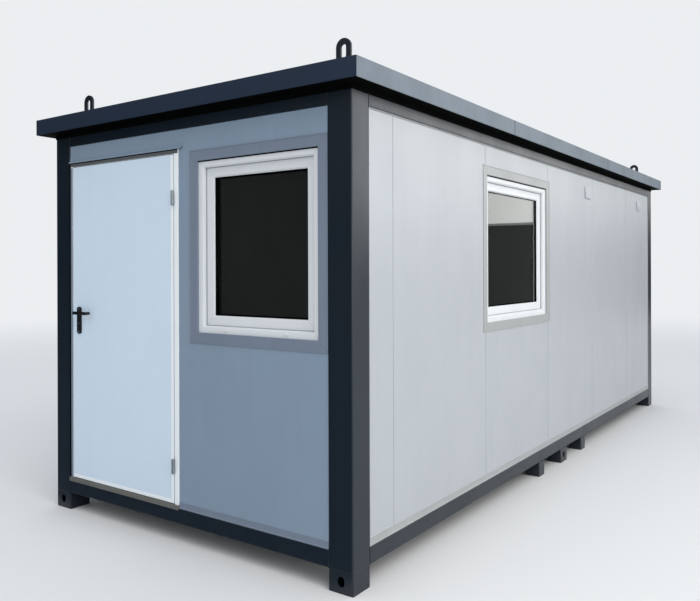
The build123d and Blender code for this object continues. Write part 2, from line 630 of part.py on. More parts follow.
# Handle plates on both faces of the leaf
with BuildPart() as door_handle_plates:
    for plane, direction in ((PLATE_PLANE, 1), (PLATE_PLANE.offset(-DOOR_LEAF_THICKNESS), -1)):
        with BuildSketch(plane):
            RectangleRounded(PLATE_WIDTH, PLATE_HEIGHT, PLATE_CORNER_RADIUS)
            with Locations((0, LEVER_LEVEL - PLATE_MIDDLE_LEVEL)):
                Circle(SPINDLE_RADIUS + SPINDLE_CLEARANCE, mode=Mode.SUBTRACT)
            with Locations((0, CYLINDER_LEVEL - PLATE_MIDDLE_LEVEL)):
                Circle(CYLINDER_RADIUS + CYLINDER_CLEARANCE, mode=Mode.SUBTRACT)
        extrude(amount=direction * PLATE_THICKNESS)
save(door_handle_plates.part, "door_handle_plates")

# Lock cylinder through the leaf and both plates
with BuildPart() as door_lock_cylinder:
    with BuildSketch(CYLINDER_PLANE.offset(PLATE_THICKNESS + CYLINDER_PROUD)):
        Circle(CYLINDER_RADIUS)
    extrude(amount=-(DOOR_LEAF_THICKNESS + 2 * PLATE_THICKNESS + 2 * CYLINDER_PROUD))
save(door_lock_cylinder.part, "door_lock_cylinder")

# Door lever: a spindle through the leaf, with a neck and a grip that turns back to the leaf on each side
NECK_START = PLATE_THICKNESS + LEVER_GAP
GRIP_START = LEVER_REACH - LEVER_GRIP_THICKNESS
with BuildPart() as door_lever:
    with BuildSketch(LEVER_PLANE.offset(GRIP_START)):
        Circle(SPINDLE_RADIUS)
    extrude(amount=-(DOOR_LEAF_THICKNESS + 2 * GRIP_START))
    for outer, direction in ((LEVER_PLANE, 1), (LEVER_PLANE.offset(-DOOR_LEAF_THICKNESS), -1)):
        with BuildSketch(outer.offset(direction * NECK_START)):
            Circle(LEVER_NECK_RADIUS)
        extrude(amount=direction * (GRIP_START - NECK_START))
        with BuildSketch(outer.offset(direction * GRIP_START)):
            with Locations((LEVER_LENGTH / 2 - LEVER_GRIP_HEIGHT / 2, 0)):
                SlotOverall(LEVER_LENGTH, LEVER_GRIP_HEIGHT)
        extrude(amount=direction * LEVER_GRIP_THICKNESS)
        with BuildSketch(outer.offset(direction * (GRIP_START - LEVER_RETURN))):
            with Locations((LEVER_LENGTH - LEVER_GRIP_HEIGHT, 0)):
                Circle(LEVER_GRIP_HEIGHT / 2)
        extrude(amount=direction * LEVER_RETURN)
save(door_lever.part, "door_lever")

# Hinges: on each, the lower half with the pin is on the frame and the upper half is on the leaf
HINGE_X = LEAF_RIGHT + DOOR_GAP / 2
HINGE_Y = -HALF_L - HINGE_PIN_OUT
HALF_HINGE = HINGE_HEIGHT / 2
HINGE_LEVELS = (LEAF_BOTTOM + HINGE_FROM_LEAF_BOTTOM, LEAF_TOP - HINGE_FROM_LEAF_TOP)


def hinge_half(level, direction, height):
    """A knuckle with a foot on the face of the frame (direction 1) or of the leaf (direction -1)."""
    with BuildPart() as half:
        with BuildSketch(Plane((HINGE_X, HINGE_Y, level))):
            Circle(HINGE_RADIUS)
            foot_x = direction * (HINGE_RADIUS - HINGE_LUG_WIDTH / 2)
            with Locations((foot_x, HINGE_PIN_OUT / 2)):
                Rectangle(HINGE_LUG_WIDTH, HINGE_PIN_OUT)
        extrude(amount=height)
    return half.part


with BuildPart() as door_hinge_frame_halves:
    for level in HINGE_LEVELS:
        add(hinge_half(level - HALF_HINGE, 1, HALF_HINGE))
        with BuildSketch(Plane((HINGE_X, HINGE_Y, level))):
            Circle(HINGE_PIN_RADIUS)
        extrude(amount=HINGE_PIN_RISE)
save(door_hinge_frame_halves.part, "door_hinge_frame_halves")

with BuildPart() as door_hinge_leaf_halves:
    for level in HINGE_LEVELS:
        add(hinge_half(level + HINGE_SEAT, -1, HALF_HINGE - HINGE_SEAT))
        with BuildSketch(Plane((HINGE_X, HINGE_Y, level))):
            Circle(HINGE_PIN_RADIUS + HINGE_PIN_CLEARANCE)
        extrude(amount=HINGE_PIN_RISE + HINGE_SEAT, mode=Mode.SUBTRACT)
save(door_hinge_leaf_halves.part, "door_hinge_leaf_halves")


def outer_inner_edges(part, plane):
    """The inner edges of a ring's outermost flat face."""
    outward = Axis(plane.origin, plane.z_dir)
    face = part.faces().filter_by(outward).sort_by(outward)[-1]
    return face.inner_wires()[0].edges()


def ring(plane, width, height, band, depth):
    """A rectangular ring with its outer face on a plane, made inward."""
    with BuildPart() as hoop:
        with BuildSketch(plane):
            Rectangle(width, height)
            Rectangle(width - 2 * band, height - 2 * band, mode=Mode.SUBTRACT)
        extrude(amount=-depth)
    return hoop.part


def window_frame(plane, width):
    """The fixed frame: a bevelled face and a rebate behind it for the sash."""
    face = plane.offset(-FRAME_RECESS)
    with BuildPart() as frame:
        add(ring(face, width, WINDOW_HEIGHT, FRAME_FACE, FRAME_DEPTH))
        with BuildSketch(face.offset(-SASH_STEP)):
            Rectangle(width - 2 * FRAME_REBATE, WINDOW_HEIGHT - 2 * FRAME_REBATE)
        extrude(amount=-(FRAME_DEPTH - SASH_STEP), mode=Mode.SUBTRACT)
        chamfer(outer_inner_edges(frame.part, plane), length=FRAME_BEVEL)
    return frame.part


SASH_EDGE = FRAME_REBATE + SASH_CLEARANCE
SASH_OPENING = FRAME_FACE + SASH_FACE


def window_sash(plane, width):
    """The sash behind the frame's face, with a groove for the glass."""
    face = plane.offset(-FRAME_RECESS - SASH_STEP)
    sash_width = width - 2 * SASH_EDGE
    sash_height = WINDOW_HEIGHT - 2 * SASH_EDGE
    groove = SASH_OPENING - GLASS_BITE - GLASS_EDGE_CLEARANCE
    with BuildPart() as sash:
        add(ring(face, sash_width, sash_height, SASH_OPENING - SASH_EDGE, SASH_DEPTH))
        with BuildSketch(face.offset(-GLASS_STEP)):
            Rectangle(width - 2 * groove, WINDOW_HEIGHT - 2 * groove)
        extrude(amount=-GLASS_THICKNESS, mode=Mode.SUBTRACT)
        chamfer(outer_inner_edges(sash.part, plane), length=SASH_BEVEL)
    return sash.part


def window_glass(plane, width):
    """The sealed glass unit in the sash's groove."""
    edge = SASH_OPENING - GLASS_BITE
    with BuildPart() as glass:
        with BuildSketch(plane.offset(-FRAME_RECESS - SASH_STEP - GLASS_STEP)):
            Rectangle(width - 2 * edge, WINDOW_HEIGHT - 2 * edge)
        extrude(amount=-GLASS_THICKNESS)
    return glass.part


def window_trim(plane, width):
    """The flat surround on the wall face, folded back to the frame."""
    with BuildPart() as trim:
        with BuildSketch(plane):
            Rectangle(width + 2 * TRIM_WIDTH, WINDOW_HEIGHT + 2 * TRIM_WIDTH)
            Rectangle(width - 2 * TRIM_SHEET, WINDOW_HEIGHT - 2 * TRIM_SHEET, mode=Mode.SUBTRACT)
        extrude(amount=TRIM_SHEET)
        add(ring(plane, width, WINDOW_HEIGHT, TRIM_SHEET, FRAME_RECESS))
    return trim.part


def window_handle(plane, width, below_middle):
    """The turned-down handle on the room side of the sash, on its right stile seen from outside."""
    stile = (SASH_EDGE + SASH_OPENING) / 2
    base = plane.offset(-FRAME_RECESS - SASH_STEP - SASH_DEPTH)
    spindle = (width / 2 - stile, -below_middle)
    grip_middle = HANDLE_BASE_WIDTH / 2 - HANDLE_GRIP_LENGTH / 2 - below_middle
    with BuildPart() as handle:
        with BuildSketch(base):
            with Locations(spindle):
                RectangleRounded(HANDLE_BASE_WIDTH, HANDLE_BASE_HEIGHT, HANDLE_BASE_WIDTH / 4)
        extrude(amount=-HANDLE_BASE_THICKNESS)
        with BuildSketch(base.offset(-HANDLE_BASE_THICKNESS)):
            with Locations(spindle):
                Circle(HANDLE_BASE_WIDTH / 3)
        extrude(amount=-(HANDLE_STANDOFF - HANDLE_BASE_THICKNESS))
        with BuildSketch(base.offset(-HANDLE_STANDOFF)):
            with Locations((width / 2 - stile, grip_middle)):
                SlotOverall(HANDLE_GRIP_LENGTH, 2 * HANDLE_BASE_WIDTH / 3, rotation=90)
        extrude(amount=-HANDLE_GRIP_THICKNESS)
    return handle.part


# Both windows: like pieces share a file, but for the surrounds, which match their walls
WINDOWS = [(FRONT_WINDOW, FRONT_WINDOW_WIDTH), (SIDE_WINDOW, SIDE_WINDOW_WIDTH)]
WINDOW_PIECES = {
    "window_frames": window_frame,
    "window_sashes": window_sash,
    "window_glass": window_glass,
}
for label, make_piece in WINDOW_PIECES.items():
    with BuildPart() as both:
        for plane, width in WINDOWS:
            add(make_piece(plane, width))
    save(both.part, label)
with BuildPart() as window_handles:
    add(window_handle(FRONT_WINDOW, FRONT_WINDOW_WIDTH, FRONT_HANDLE_BELOW_MIDDLE))
    add(window_handle(SIDE_WINDOW, SIDE_WINDOW_WIDTH, SIDE_HANDLE_BELOW_MIDDLE))
save(window_handles.part, "window_handles")
save(window_trim(FRONT_WINDOW, FRONT_WINDOW_WIDTH), "front_window_trim")
save(window_trim(SIDE_WINDOW, SIDE_WINDOW_WIDTH), "side_window_trim")

# Vent covers: sloping hoods on the window side, hollow and open below
VENT_TOP = CEILING_LEVEL - VENT_TOP_BELOW_RAIL


def vent_solid(start, inset, foot):
    """The hood's shape from one end, drawn in by a sheet thickness and let down to a foot."""
    with BuildPart() as hood:
        with BuildSketch(Plane((RIGHT_WALL_FACE, start + inset, VENT_TOP), (-1, 0, 0), (0, 1, 0))):
            with BuildLine():
                Polyline(
                    (-inset, -inset),
                    (inset - VENT_TOP_DEPTH, -inset),
                    (inset - VENT_DEPTH, -VENT_HEIGHT / 2),
                    (inset - VENT_DEPTH, -foot),
                    (-inset, -foot),
                    close=True,
                )
            make_face()
        extrude(amount=VENT_WIDTH - 2 * inset)
    return hood.part


with BuildPart() as vent_covers:
    for middle in (VENT_FROM_FRONT - HALF_L, HALF_L - VENT_FROM_BACK):
        start = middle - VENT_WIDTH / 2
        add(vent_solid(start, 0, VENT_HEIGHT))
        add(vent_solid(start, VENT_SHEET, VENT_HEIGHT + VENT_SHEET), mode=Mode.SUBTRACT)
save(vent_covers.part, "vent_covers")
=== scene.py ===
# Portable site cabin: finishes, seals, fixings, linings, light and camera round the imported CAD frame.
# Metres, in the frame's own axes: the door end faces -Y, the long wall with the window faces +X.
import json
import math

import bmesh
import bpy
from mathutils import Matrix, Vector


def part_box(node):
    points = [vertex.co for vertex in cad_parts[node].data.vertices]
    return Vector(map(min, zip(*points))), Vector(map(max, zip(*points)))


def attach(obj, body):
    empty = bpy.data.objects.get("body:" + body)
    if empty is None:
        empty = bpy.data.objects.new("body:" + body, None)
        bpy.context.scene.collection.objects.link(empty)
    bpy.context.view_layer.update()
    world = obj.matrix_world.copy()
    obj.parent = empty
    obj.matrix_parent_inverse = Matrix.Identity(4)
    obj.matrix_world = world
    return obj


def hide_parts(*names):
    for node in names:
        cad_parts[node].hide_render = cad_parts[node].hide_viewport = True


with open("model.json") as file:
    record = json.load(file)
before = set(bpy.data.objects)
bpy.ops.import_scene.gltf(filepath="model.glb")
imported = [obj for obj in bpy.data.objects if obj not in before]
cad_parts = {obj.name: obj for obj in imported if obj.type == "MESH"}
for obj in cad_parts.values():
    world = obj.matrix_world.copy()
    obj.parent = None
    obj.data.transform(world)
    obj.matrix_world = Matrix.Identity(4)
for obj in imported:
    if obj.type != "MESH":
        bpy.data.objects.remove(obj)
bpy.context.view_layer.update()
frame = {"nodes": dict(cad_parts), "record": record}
scene = bpy.context.scene

# Sizes of the added pieces, and those of the frame that they follow
TRIM_WIDTH = 0.060
TRIM_SHEET = 0.002
HEM_WIDTH = 0.007
HEM_HEIGHT = 0.0022
MITRE_GAP = 0.0006
FRAME_FACE = 0.042
FRAME_RECESS = 0.010
FRAME_BEVEL = 0.008
SASH_STEP = 0.025
SASH_FACE = 0.058
SASH_BEVEL = 0.008
GLASS_STEP = 0.018
GLASS_THICKNESS = 0.024
GASKET = 0.005
SASH_DEPTH = 0.050
WALL_THICKNESS = 0.060
WALL_INSET = 0.006
WALL_DEPTH = WALL_INSET + WALL_THICKNESS
DOOR_GAP = 0.005
LUG_FROM_SIDE = 0.152
LUG_FROM_END = 0.150
LUG_HALF_WIDTH = 0.047
LUG_THICKNESS = 0.013
LUG_BASE_TOP = 0.010
HINGE_RADIUS = 0.0085
UPSTAND_START = 0.225
FASCIA_SHEET = 0.003
FASCIA_TOP_WIDTH = 0.175
LINING = 0.002
CASING_WIDTH = 0.030
SKIRTING_HEIGHT = 0.060
SKIRTING_DEPTH = 0.012
POST_CASING = 0.010
ROOF_SCREW_MARGIN = 0.28
ROOF_SCREW_SPACING = 0.38
RIVET_SPACING = 0.46
END_RIVET_SPACING = 0.40
CURVE_STEPS = 16
BEAD_STEPS = 8
EDGE_ANGLE = math.radians(40)
WELD_DISTANCE = 0.00002

# Camera, fitted to the photograph
CAMERA_PLACE = (3.242, -5.921, 1.597)
CAMERA_TURN = math.radians(35.15)
CAMERA_ROLL = math.radians(-0.18)
PHOTO_WIDTH = 700
FOCAL_PIXELS = 730.6
HORIZON_ABOVE_MIDDLE = 33.0
SENSOR_WIDTH = 36.0

# Light: colours as strengths, where 1 renders a white surface as white
BACKDROP = (0.84, 0.86, 0.88)
SKY_LIGHT = (0.98, 1.03, 1.11)
LOW_LIGHT = (0.53, 0.55, 0.59)
FLOOR_COLOUR = (0.74, 0.74, 0.73)
FLOOR_SIZE = 60.0
FLOOR_FADE_START = 7.0
FLOOR_FADE_END = 20.0


def new_group(name, inputs, outputs):
    """An empty shader node group with float inputs and the outputs that are named."""
    group = bpy.data.node_groups.new(name, "ShaderNodeTree")
    for label, value in inputs:
        socket = group.interface.new_socket(label, in_out="INPUT", socket_type="NodeSocketFloat")
        socket.default_value = value
    for label in outputs:
        group.interface.new_socket(label, in_out="OUTPUT", socket_type="NodeSocketFloat")
    start = group.nodes.new("NodeGroupInput")
    end = group.nodes.new("NodeGroupOutput")
    return group, start, end


def math_node(tree, operation, first, second=None, clamp=False):
    """A math node fed by sockets or plain numbers."""
    node = tree.nodes.new("ShaderNodeMath")
    node.operation = operation
    node.use_clamp = clamp
    for socket, value in zip(node.inputs, (first, second)):
        if isinstance(value, (int, float)):
            socket.default_value = value
        elif value is not None:
            tree.links.new(value, socket)
    return node.outputs[0]


def map_range(tree, value, low, high, to_low=0.0, to_high=1.0):
    """A clamped, smooth change of range."""
    node = tree.nodes.new("ShaderNodeMapRange")
    node.interpolation_type = "SMOOTHSTEP"
    tree.links.new(value, node.inputs["Value"])
    for label, given in (("From Min", low), ("From Max", high), ("To Min", to_low), ("To Max", to_high)):
        if isinstance(given, (int, float)):
            node.inputs[label].default_value = given
        else:
            tree.links.new(given, node.inputs[label])
    return node.outputs["Result"]


def scaled_place(tree, scale):
    """The surface point in metres, stretched along each axis."""
    place = tree.nodes.new("ShaderNodeTexCoord")
    mapping = tree.nodes.new("ShaderNodeMapping")
    mapping.inputs["Scale"].default_value = scale
    tree.links.new(place.outputs["Object"], mapping.inputs["Vector"])
    return mapping.outputs["Vector"]


def noise(tree, vector, scale, detail=2.0, roughness=0.5):
    """A noise value about one half."""
    node = tree.nodes.new("ShaderNodeTexNoise")
    tree.links.new(vector, node.inputs["Vector"])
    if isinstance(scale, (int, float)):
        node.inputs["Scale"].default_value = scale
    else:
        tree.links.new(scale, node.inputs["Scale"])
    node.inputs["Detail"].default_value = detail
    node.inputs["Roughness"].default_value = roughness
    return node.outputs["Fac"]


def make_streaks():
    """Faint upright streaks, as rain leaves on a wall."""
    group, start, end = new_group("upright_streaks", [("Density", 12.0)], ["Mask"])
    fine = noise(group, scaled_place(group, (1.0, 1.0, 0.06)), start.outputs["Density"], 3.0, 0.6)
    broad = noise(group, scaled_place(group, (1.0, 1.0, 0.35)), 0.9, 2.0)
    both = math_node(group, "MULTIPLY", map_range(group, fine, 0.42, 0.72), map_range(group, broad, 0.3, 0.7))
    group.links.new(both, end.inputs["Mask"])
    return group


def make_splash():
    """Dust that is thickest at the ground and gone at a given height."""
    group, start, end = new_group("ground_splash", [("Reach", 0.5)], ["Mask"])
    place = group.nodes.new("ShaderNodeTexCoord")
    split = group.nodes.new("ShaderNodeSeparateXYZ")
    group.links.new(place.outputs["Object"], split.inputs[0])
    share = math_node(group, "DIVIDE", split.outputs["Z"], start.outputs["Reach"])
    low = math_node(group, "SUBTRACT", 1.0, share, clamp=True)
    cloud = noise(group, scaled_place(group, (1.0, 1.0, 1.0)), 7.0, 5.0, 0.65)
    spots = noise(group, scaled_place(group, (1.0, 1.0, 1.0)), 90.0, 2.0, 0.6)
    patches = map_range(group, cloud, 0.35, 0.75)
    specks = map_range(group, spots, 0.3, 0.6)
    mixed = math_node(group, "MULTIPLY", patches, specks)
    base = math_node(group, "POWER", low, 1.6)
    group.links.new(math_node(group, "MULTIPLY", mixed, base, clamp=True), end.inputs["Mask"])
    return group


def make_peel():
    """The fine unevenness of sprayed or stoved paint."""
    group, start, end = new_group("paint_peel", [("Scale", 260.0)], ["Height"])
    place = scaled_place(group, (1.0, 1.0, 1.0))
    group.links.new(noise(group, place, start.outputs["Scale"], 2.0, 0.5), end.inputs["Height"])
    return group


def make_sheet_waves():
    """The slow waves of thin sheet metal over its core."""
    group, start, end = new_group("sheet_waves", [("Scale", 2.2)], ["Height"])
    place = scaled_place(group, (1.0, 1.0, 0.45))
    group.links.new(noise(group, place, start.outputs["Scale"], 1.0, 0.4), end.inputs["Height"])
    return group


def make_panel_ribs():
    """Shallow upright ribs rolled into the panel sheets, the same along both wall directions."""
    group, start, end = new_group("panel_ribs", [("Pitch", 0.05), ("Groove", 0.2)], ["Height"])
    place = group.nodes.new("ShaderNodeTexCoord")
    split = group.nodes.new("ShaderNodeSeparateXYZ")
    group.links.new(place.outputs["Object"], split.inputs[0])
    along = math_node(group, "ADD", split.outputs["X"], split.outputs["Y"])
    turns = math_node(group, "DIVIDE", along, start.outputs["Pitch"])
    share = math_node(group, "PINGPONG", turns, 0.5)
    group.links.new(map_range(group, share, 0.0, start.outputs["Groove"]), end.inputs["Height"])
    return group


def make_edge_wear():
    """Worn edges: where the rounded normal leaves the flat one, broken up by noise."""
    group, start, end = new_group("edge_wear", [("Radius", 0.003), ("Breakup", 40.0)], ["Mask"])
    rounded = group.nodes.new("ShaderNodeBevel")
    rounded.samples = 4
    group.links.new(start.outputs["Radius"], rounded.inputs["Radius"])
    flat = group.nodes.new("ShaderNodeNewGeometry")
    dot = group.nodes.new("ShaderNodeVectorMath")
    dot.operation = "DOT_PRODUCT"
    group.links.new(rounded.outputs["Normal"], dot.inputs[0])
    group.links.new(flat.outputs["Normal"], dot.inputs[1])
    edge = map_range(group, math_node(group, "SUBTRACT", 1.0, dot.outputs["Value"]), 0.01, 0.2)
    broken = noise(group, scaled_place(group, (1.0, 1.0, 1.0)), start.outputs["Breakup"], 4.0, 0.7)
    kept = map_range(group, broken, 0.45, 0.7)
    group.links.new(math_node(group, "MULTIPLY", edge, kept), end.inputs["Mask"])
    return group


STREAKS = make_streaks()
SPLASH = make_splash()
PEEL = make_peel()
WAVES = make_sheet_waves()
RIBS = make_panel_ribs()
WEAR = make_edge_wear()


def place_group(tree, group, **values):
    """A group node in a material with its own values."""
    node = tree.nodes.new("ShaderNodeGroup")
    node.node_tree = group
    for label, value in values.items():
        node.inputs[label].default_value = value
    return node.outputs[0]


def tint(tree, colour, mask, amount, to_colour):
    """Mixes a colour towards another where a mask is strong."""
    mix = tree.nodes.new("ShaderNodeMix")
    mix.data_type = "RGBA"
    factor = math_node(tree, "MULTIPLY", mask, amount)
    tree.links.new(factor, mix.inputs["Factor"])
    if isinstance(colour, tuple):
        mix.inputs["A"].default_value = (*colour, 1.0)
    else:
        tree.links.new(colour, mix.inputs["A"])
    mix.inputs["B"].default_value = (*to_colour, 1.0)
    return mix.outputs["Result"]


def bump(tree, height, distance, normal=None):
    """A bump node of full strength with its real height in metres."""
    node = tree.nodes.new("ShaderNodeBump")
    node.inputs["Strength"].default_value = 1.0
    node.inputs["Distance"].default_value = distance
    tree.links.new(height, node.inputs["Height"])
    if normal is not None:
        tree.links.new(normal, node.inputs["Normal"])
    return node.outputs["Normal"]


DUST_COLOUR = (0.36, 0.32, 0.27)


def finish_material(
    name,
    colour,
    roughness,
    ior=1.4,
    metallic=0.0,
    mottle=0.06,
    streak=0.0,
    streak_density=14.0,
    streak_colour=None,
    splash=0.0,
    splash_reach=0.5,
    wear=0.0,
    wear_colour=(0.45, 0.45, 0.44),
    wave=0.0,
    rib=0.0,
    peel=0.0,
    peel_scale=260.0,
    rough_change=0.08,
):
    """A finish from its base colour and the effects that it shows, each left out where it is nought."""
    material = bpy.data.materials.new(name)
    material.use_nodes = True
    tree = material.node_tree
    shader = tree.nodes["Principled BSDF"]
    shader.inputs["IOR"].default_value = ior
    shader.inputs["Metallic"].default_value = metallic
    cloud = noise(tree, scaled_place(tree, (1.0, 1.0, 0.6)), 3.1, 4.0, 0.6)
    darker = tuple(channel * (1.0 - 2.5 * mottle) for channel in colour)
    look = tint(tree, colour, map_range(tree, cloud, 0.35, 0.75), 0.8, darker)
    if streak:
        mask = place_group(tree, STREAKS, Density=streak_density)
        look = tint(tree, look, mask, streak, streak_colour or tuple(0.55 * c for c in colour))
    if wear:
        look = tint(tree, look, place_group(tree, WEAR), wear, wear_colour)
    if splash:
        look = tint(tree, look, place_group(tree, SPLASH, Reach=splash_reach), splash, DUST_COLOUR)
    tree.links.new(look, shader.inputs["Base Color"])
    matt = map_range(tree, cloud, 0.3, 0.7, roughness - rough_change / 2, roughness + rough_change / 2)
    tree.links.new(matt, shader.inputs["Roughness"])
    normal = None
    if wave:
        normal = bump(tree, place_group(tree, WAVES), wave, normal)
    if rib:
        normal = bump(tree, place_group(tree, RIBS), rib, normal)
    if peel:
        normal = bump(tree, place_group(tree, PEEL, Scale=peel_scale), peel, normal)
    if normal is not None:
        tree.links.new(normal, shader.inputs["Normal"])
    return material


def glass_material():
    """Double glazing with a faint film of dust; its dark grey tint is painted shade, standing in for the dim
    room behind the panes.
    """
    material = bpy.data.materials.new("window_glass")
    material.use_nodes = True
    tree = material.node_tree
    shader = tree.nodes["Principled BSDF"]
    shader.inputs["Transmission Weight"].default_value = 1.0
    shader.inputs["IOR"].default_value = 1.5
    smear = noise(tree, scaled_place(tree, (1.0, 1.0, 0.7)), 2.4, 5.0, 0.6)
    # Painted shade: the dark grey tint dims the room seen through the glass.
    look = tint(tree, (0.24, 0.265, 0.250), map_range(tree, smear, 0.4, 0.8), 0.5, (0.21, 0.230, 0.220))
    tree.links.new(look, shader.inputs["Base Color"])
    tree.links.new(map_range(tree, smear, 0.3, 0.8, 0.0, 0.04), shader.inputs["Roughness"])
    return material


FINISH_VALUES = {
    "anthracite_paint": {
        "colour": (0.0046, 0.0112, 0.0205), "roughness": 0.36, "ior": 1.46, "mottle": 0.05,
        "streak": 0.08, "streak_colour": (0.03, 0.035, 0.04), "splash": 0.05, "splash_reach": 0.30,
        "wear": 0.3, "wear_colour": (0.06, 0.07, 0.08), "wave": 0.0006, "peel": 0.00004,
    },
    # Painted light: the frame's anthracite paint, lighter and bluer where the end fascias catch reflected
    # sky.
    "fascia_paint": {
        "colour": (0.015, 0.027, 0.052), "roughness": 0.42, "ior": 1.34, "mottle": 0.05,
        "streak": 0.10, "wear": 0.3, "wear_colour": (0.10, 0.11, 0.13), "wave": 0.0006,
        "peel": 0.00004,
    },
    # Painted sheen: the frame's anthracite paint, lightened to mid-grey as the long fascias show it with the
    # sky reflected in them.
    "grey_paint": {
        "colour": (0.183, 0.216, 0.250), "roughness": 0.6, "ior": 1.20, "mottle": 0.06,
        "streak": 0.12, "wear": 0.3, "wear_colour": (0.30, 0.31, 0.33), "wave": 0.0005,
        "peel": 0.00006,
    },
    # Painted shade: the same paint as silver_paint, darker and bluer as the shaded end walls show it.
    "slate_paint": {
        "colour": (0.230, 0.304, 0.388), "roughness": 0.46, "ior": 1.38, "mottle": 0.02,
        "streak": 0.06, "splash": 0.10, "splash_reach": 0.40, "wave": 0.0012, "rib": 0.00006,
        "peel": 0.00003,
    },
    "silver_paint": {
        "colour": (0.404, 0.430, 0.454), "roughness": 0.4, "ior": 1.46, "mottle": 0.015,
        "streak": 0.05, "streak_density": 18.0, "splash": 0.05, "splash_reach": 0.40,
        "wave": 0.0012, "rib": 0.00006, "peel": 0.00003,
    },
    # Painted shade: the same trim as silver_trim, darker and bluer as the shaded end walls show it.
    "slate_trim": {
        "colour": (0.185, 0.228, 0.292), "roughness": 0.44, "ior": 1.38, "mottle": 0.03,
        "streak": 0.10, "splash": 0.12, "wear": 0.25, "wear_colour": (0.34, 0.37, 0.41),
        "peel": 0.00003,
    },
    "silver_trim": {
        "colour": (0.350, 0.362, 0.362), "roughness": 0.44, "ior": 1.40, "mottle": 0.03,
        "streak": 0.10, "splash": 0.12, "wear": 0.25, "wear_colour": (0.56, 0.56, 0.54),
        "peel": 0.00003,
    },
    # Painted shade: a white door, given the blue cast of the shade it stands in.
    "door_paint": {
        "colour": (0.655, 0.772, 0.880), "roughness": 0.34, "ior": 1.42, "mottle": 0.015,
        "streak": 0.04, "splash": 0.10, "splash_reach": 0.45, "wave": 0.0010, "peel": 0.00003,
    },
    "jamb_paint": {
        "colour": (0.88, 0.92, 0.93), "roughness": 0.36, "ior": 1.42, "mottle": 0.015,
        "streak": 0.04, "splash": 0.12, "splash_reach": 0.40, "peel": 0.00003,
    },
    "white_pvc": {
        "colour": (0.715, 0.735, 0.750), "roughness": 0.46, "ior": 1.34, "mottle": 0.015,
        "streak": 0.05, "streak_colour": (0.62, 0.62, 0.60), "peel": 0.00001, "peel_scale": 500.0,
    },
    "black_fitting": {
        "colour": (0.010, 0.010, 0.014), "roughness": 0.38, "ior": 1.40, "wear": 0.5,
        "wear_colour": (0.07, 0.07, 0.08), "peel": 0.00002, "peel_scale": 900.0,
    },
    "lock_metal": {
        "colour": (0.56, 0.53, 0.46), "roughness": 0.3, "metallic": 1.0, "mottle": 0.08,
        "peel": 0.00001, "peel_scale": 1500.0,
    },
    "hinge_steel": {
        "colour": (0.30, 0.34, 0.37), "roughness": 0.38, "metallic": 0.7, "mottle": 0.08,
        "wear": 0.4, "peel": 0.00002,
    },
    "threshold_aluminium": {
        "colour": (0.25, 0.245, 0.22), "roughness": 0.5, "metallic": 0.5, "mottle": 0.10,
        "splash": 0.3, "wear": 0.4, "wear_colour": (0.55, 0.54, 0.50), "peel": 0.00003,
        "peel_scale": 700.0,
    },
    "zinc_sheet": {
        "colour": (0.40, 0.42, 0.43), "roughness": 0.58, "metallic": 0.35, "mottle": 0.16,
        "wave": 0.0008, "peel": 0.00004,
    },
    "white_lining": {
        "colour": (0.74, 0.74, 0.71), "roughness": 0.6, "mottle": 0.03, "peel": 0.00003,
    },
    "floor_vinyl": {
        "colour": (0.19, 0.19, 0.185), "roughness": 0.5, "mottle": 0.12, "peel": 0.00005,
        "peel_scale": 400.0,
    },
    "black_rubber": {
        "colour": (0.0025, 0.0028, 0.0026), "roughness": 0.8, "ior": 1.08, "mottle": 0.08,
        "peel": 0.00003, "peel_scale": 700.0,
    },
    "joint_sealant": {
        "colour": (0.300, 0.315, 0.325), "roughness": 0.55, "mottle": 0.05, "peel": 0.00003,
        "peel_scale": 700.0,
    },
    "edge_sealant": {
        "colour": (0.290, 0.300, 0.310), "roughness": 0.5, "mottle": 0.05, "peel": 0.00003,
        "peel_scale": 700.0,
    },
    # Painted shade: the dark grey of the head jamb in the drip cap's shade.
    "head_shade_grey": {
        "colour": (0.105, 0.110, 0.112), "roughness": 0.5, "mottle": 0.06, "peel": 0.00003,
        "peel_scale": 700.0,
    },
    "grey_rubber": {
        "colour": (0.30, 0.33, 0.35), "roughness": 0.6, "mottle": 0.08, "peel": 0.00003,
        "peel_scale": 700.0,
    },
}
FINISHES = {name: finish_material(name, **values) for name, values in FINISH_VALUES.items()}
FINISHES["window_glass"] = glass_material()

for subpart in frame["record"]["subparts"]:
    cad_mesh = frame["nodes"][subpart["node"]].data
    cad_mesh.materials.clear()
    cad_mesh.materials.append(FINISHES[subpart["material_slot"]])


def round_edges(piece, width):
    """Rounds the sharp edges of a piece a little with a modifier."""
    edge = piece.modifiers.new("bevel", "BEVEL")
    edge.width = width
    edge.segments = 2
    edge.limit_method = "ANGLE"
    edge.angle_limit = EDGE_ANGLE


def soften_edges(node, width):
    """Joins the facets of a CAD node and rounds its sharp edges, both with modifiers."""
    target = frame["nodes"][node]
    weld = target.modifiers.new("weld", "WELD")
    weld.merge_threshold = WELD_DISTANCE
    round_edges(target, width)


EDGE_ROUNDING = {
    "front_wall_window_panel": 0.002,
    "front_wall_door_header": 0.002,
    "right_wall_panels": 0.007,
    "right_wall_window_panel": 0.007,
    "left_wall_panels": 0.007,
    "back_wall_panels": 0.007,
    "door_leaf": 0.0012,
    "door_frame": 0.0015,
    "door_threshold": 0.0015,
    "fascia_front": 0.0014,
    "fascia_back": 0.0014,
    "fascia_left": 0.0014,
    "fascia_right": 0.0014,
    "vent_covers": 0.0008,
    "lifting_lugs": 0.0015,
    "mid_feet": 0.0015,
    "pocket_feet": 0.0015,
    "door_lever": 0.002,
    "door_handle_plates": 0.002,
    "window_handles": 0.002,
    "window_frames": 0.001,
    "window_sashes": 0.001,
}
for node, width in EDGE_ROUNDING.items():
    soften_edges(node, width)


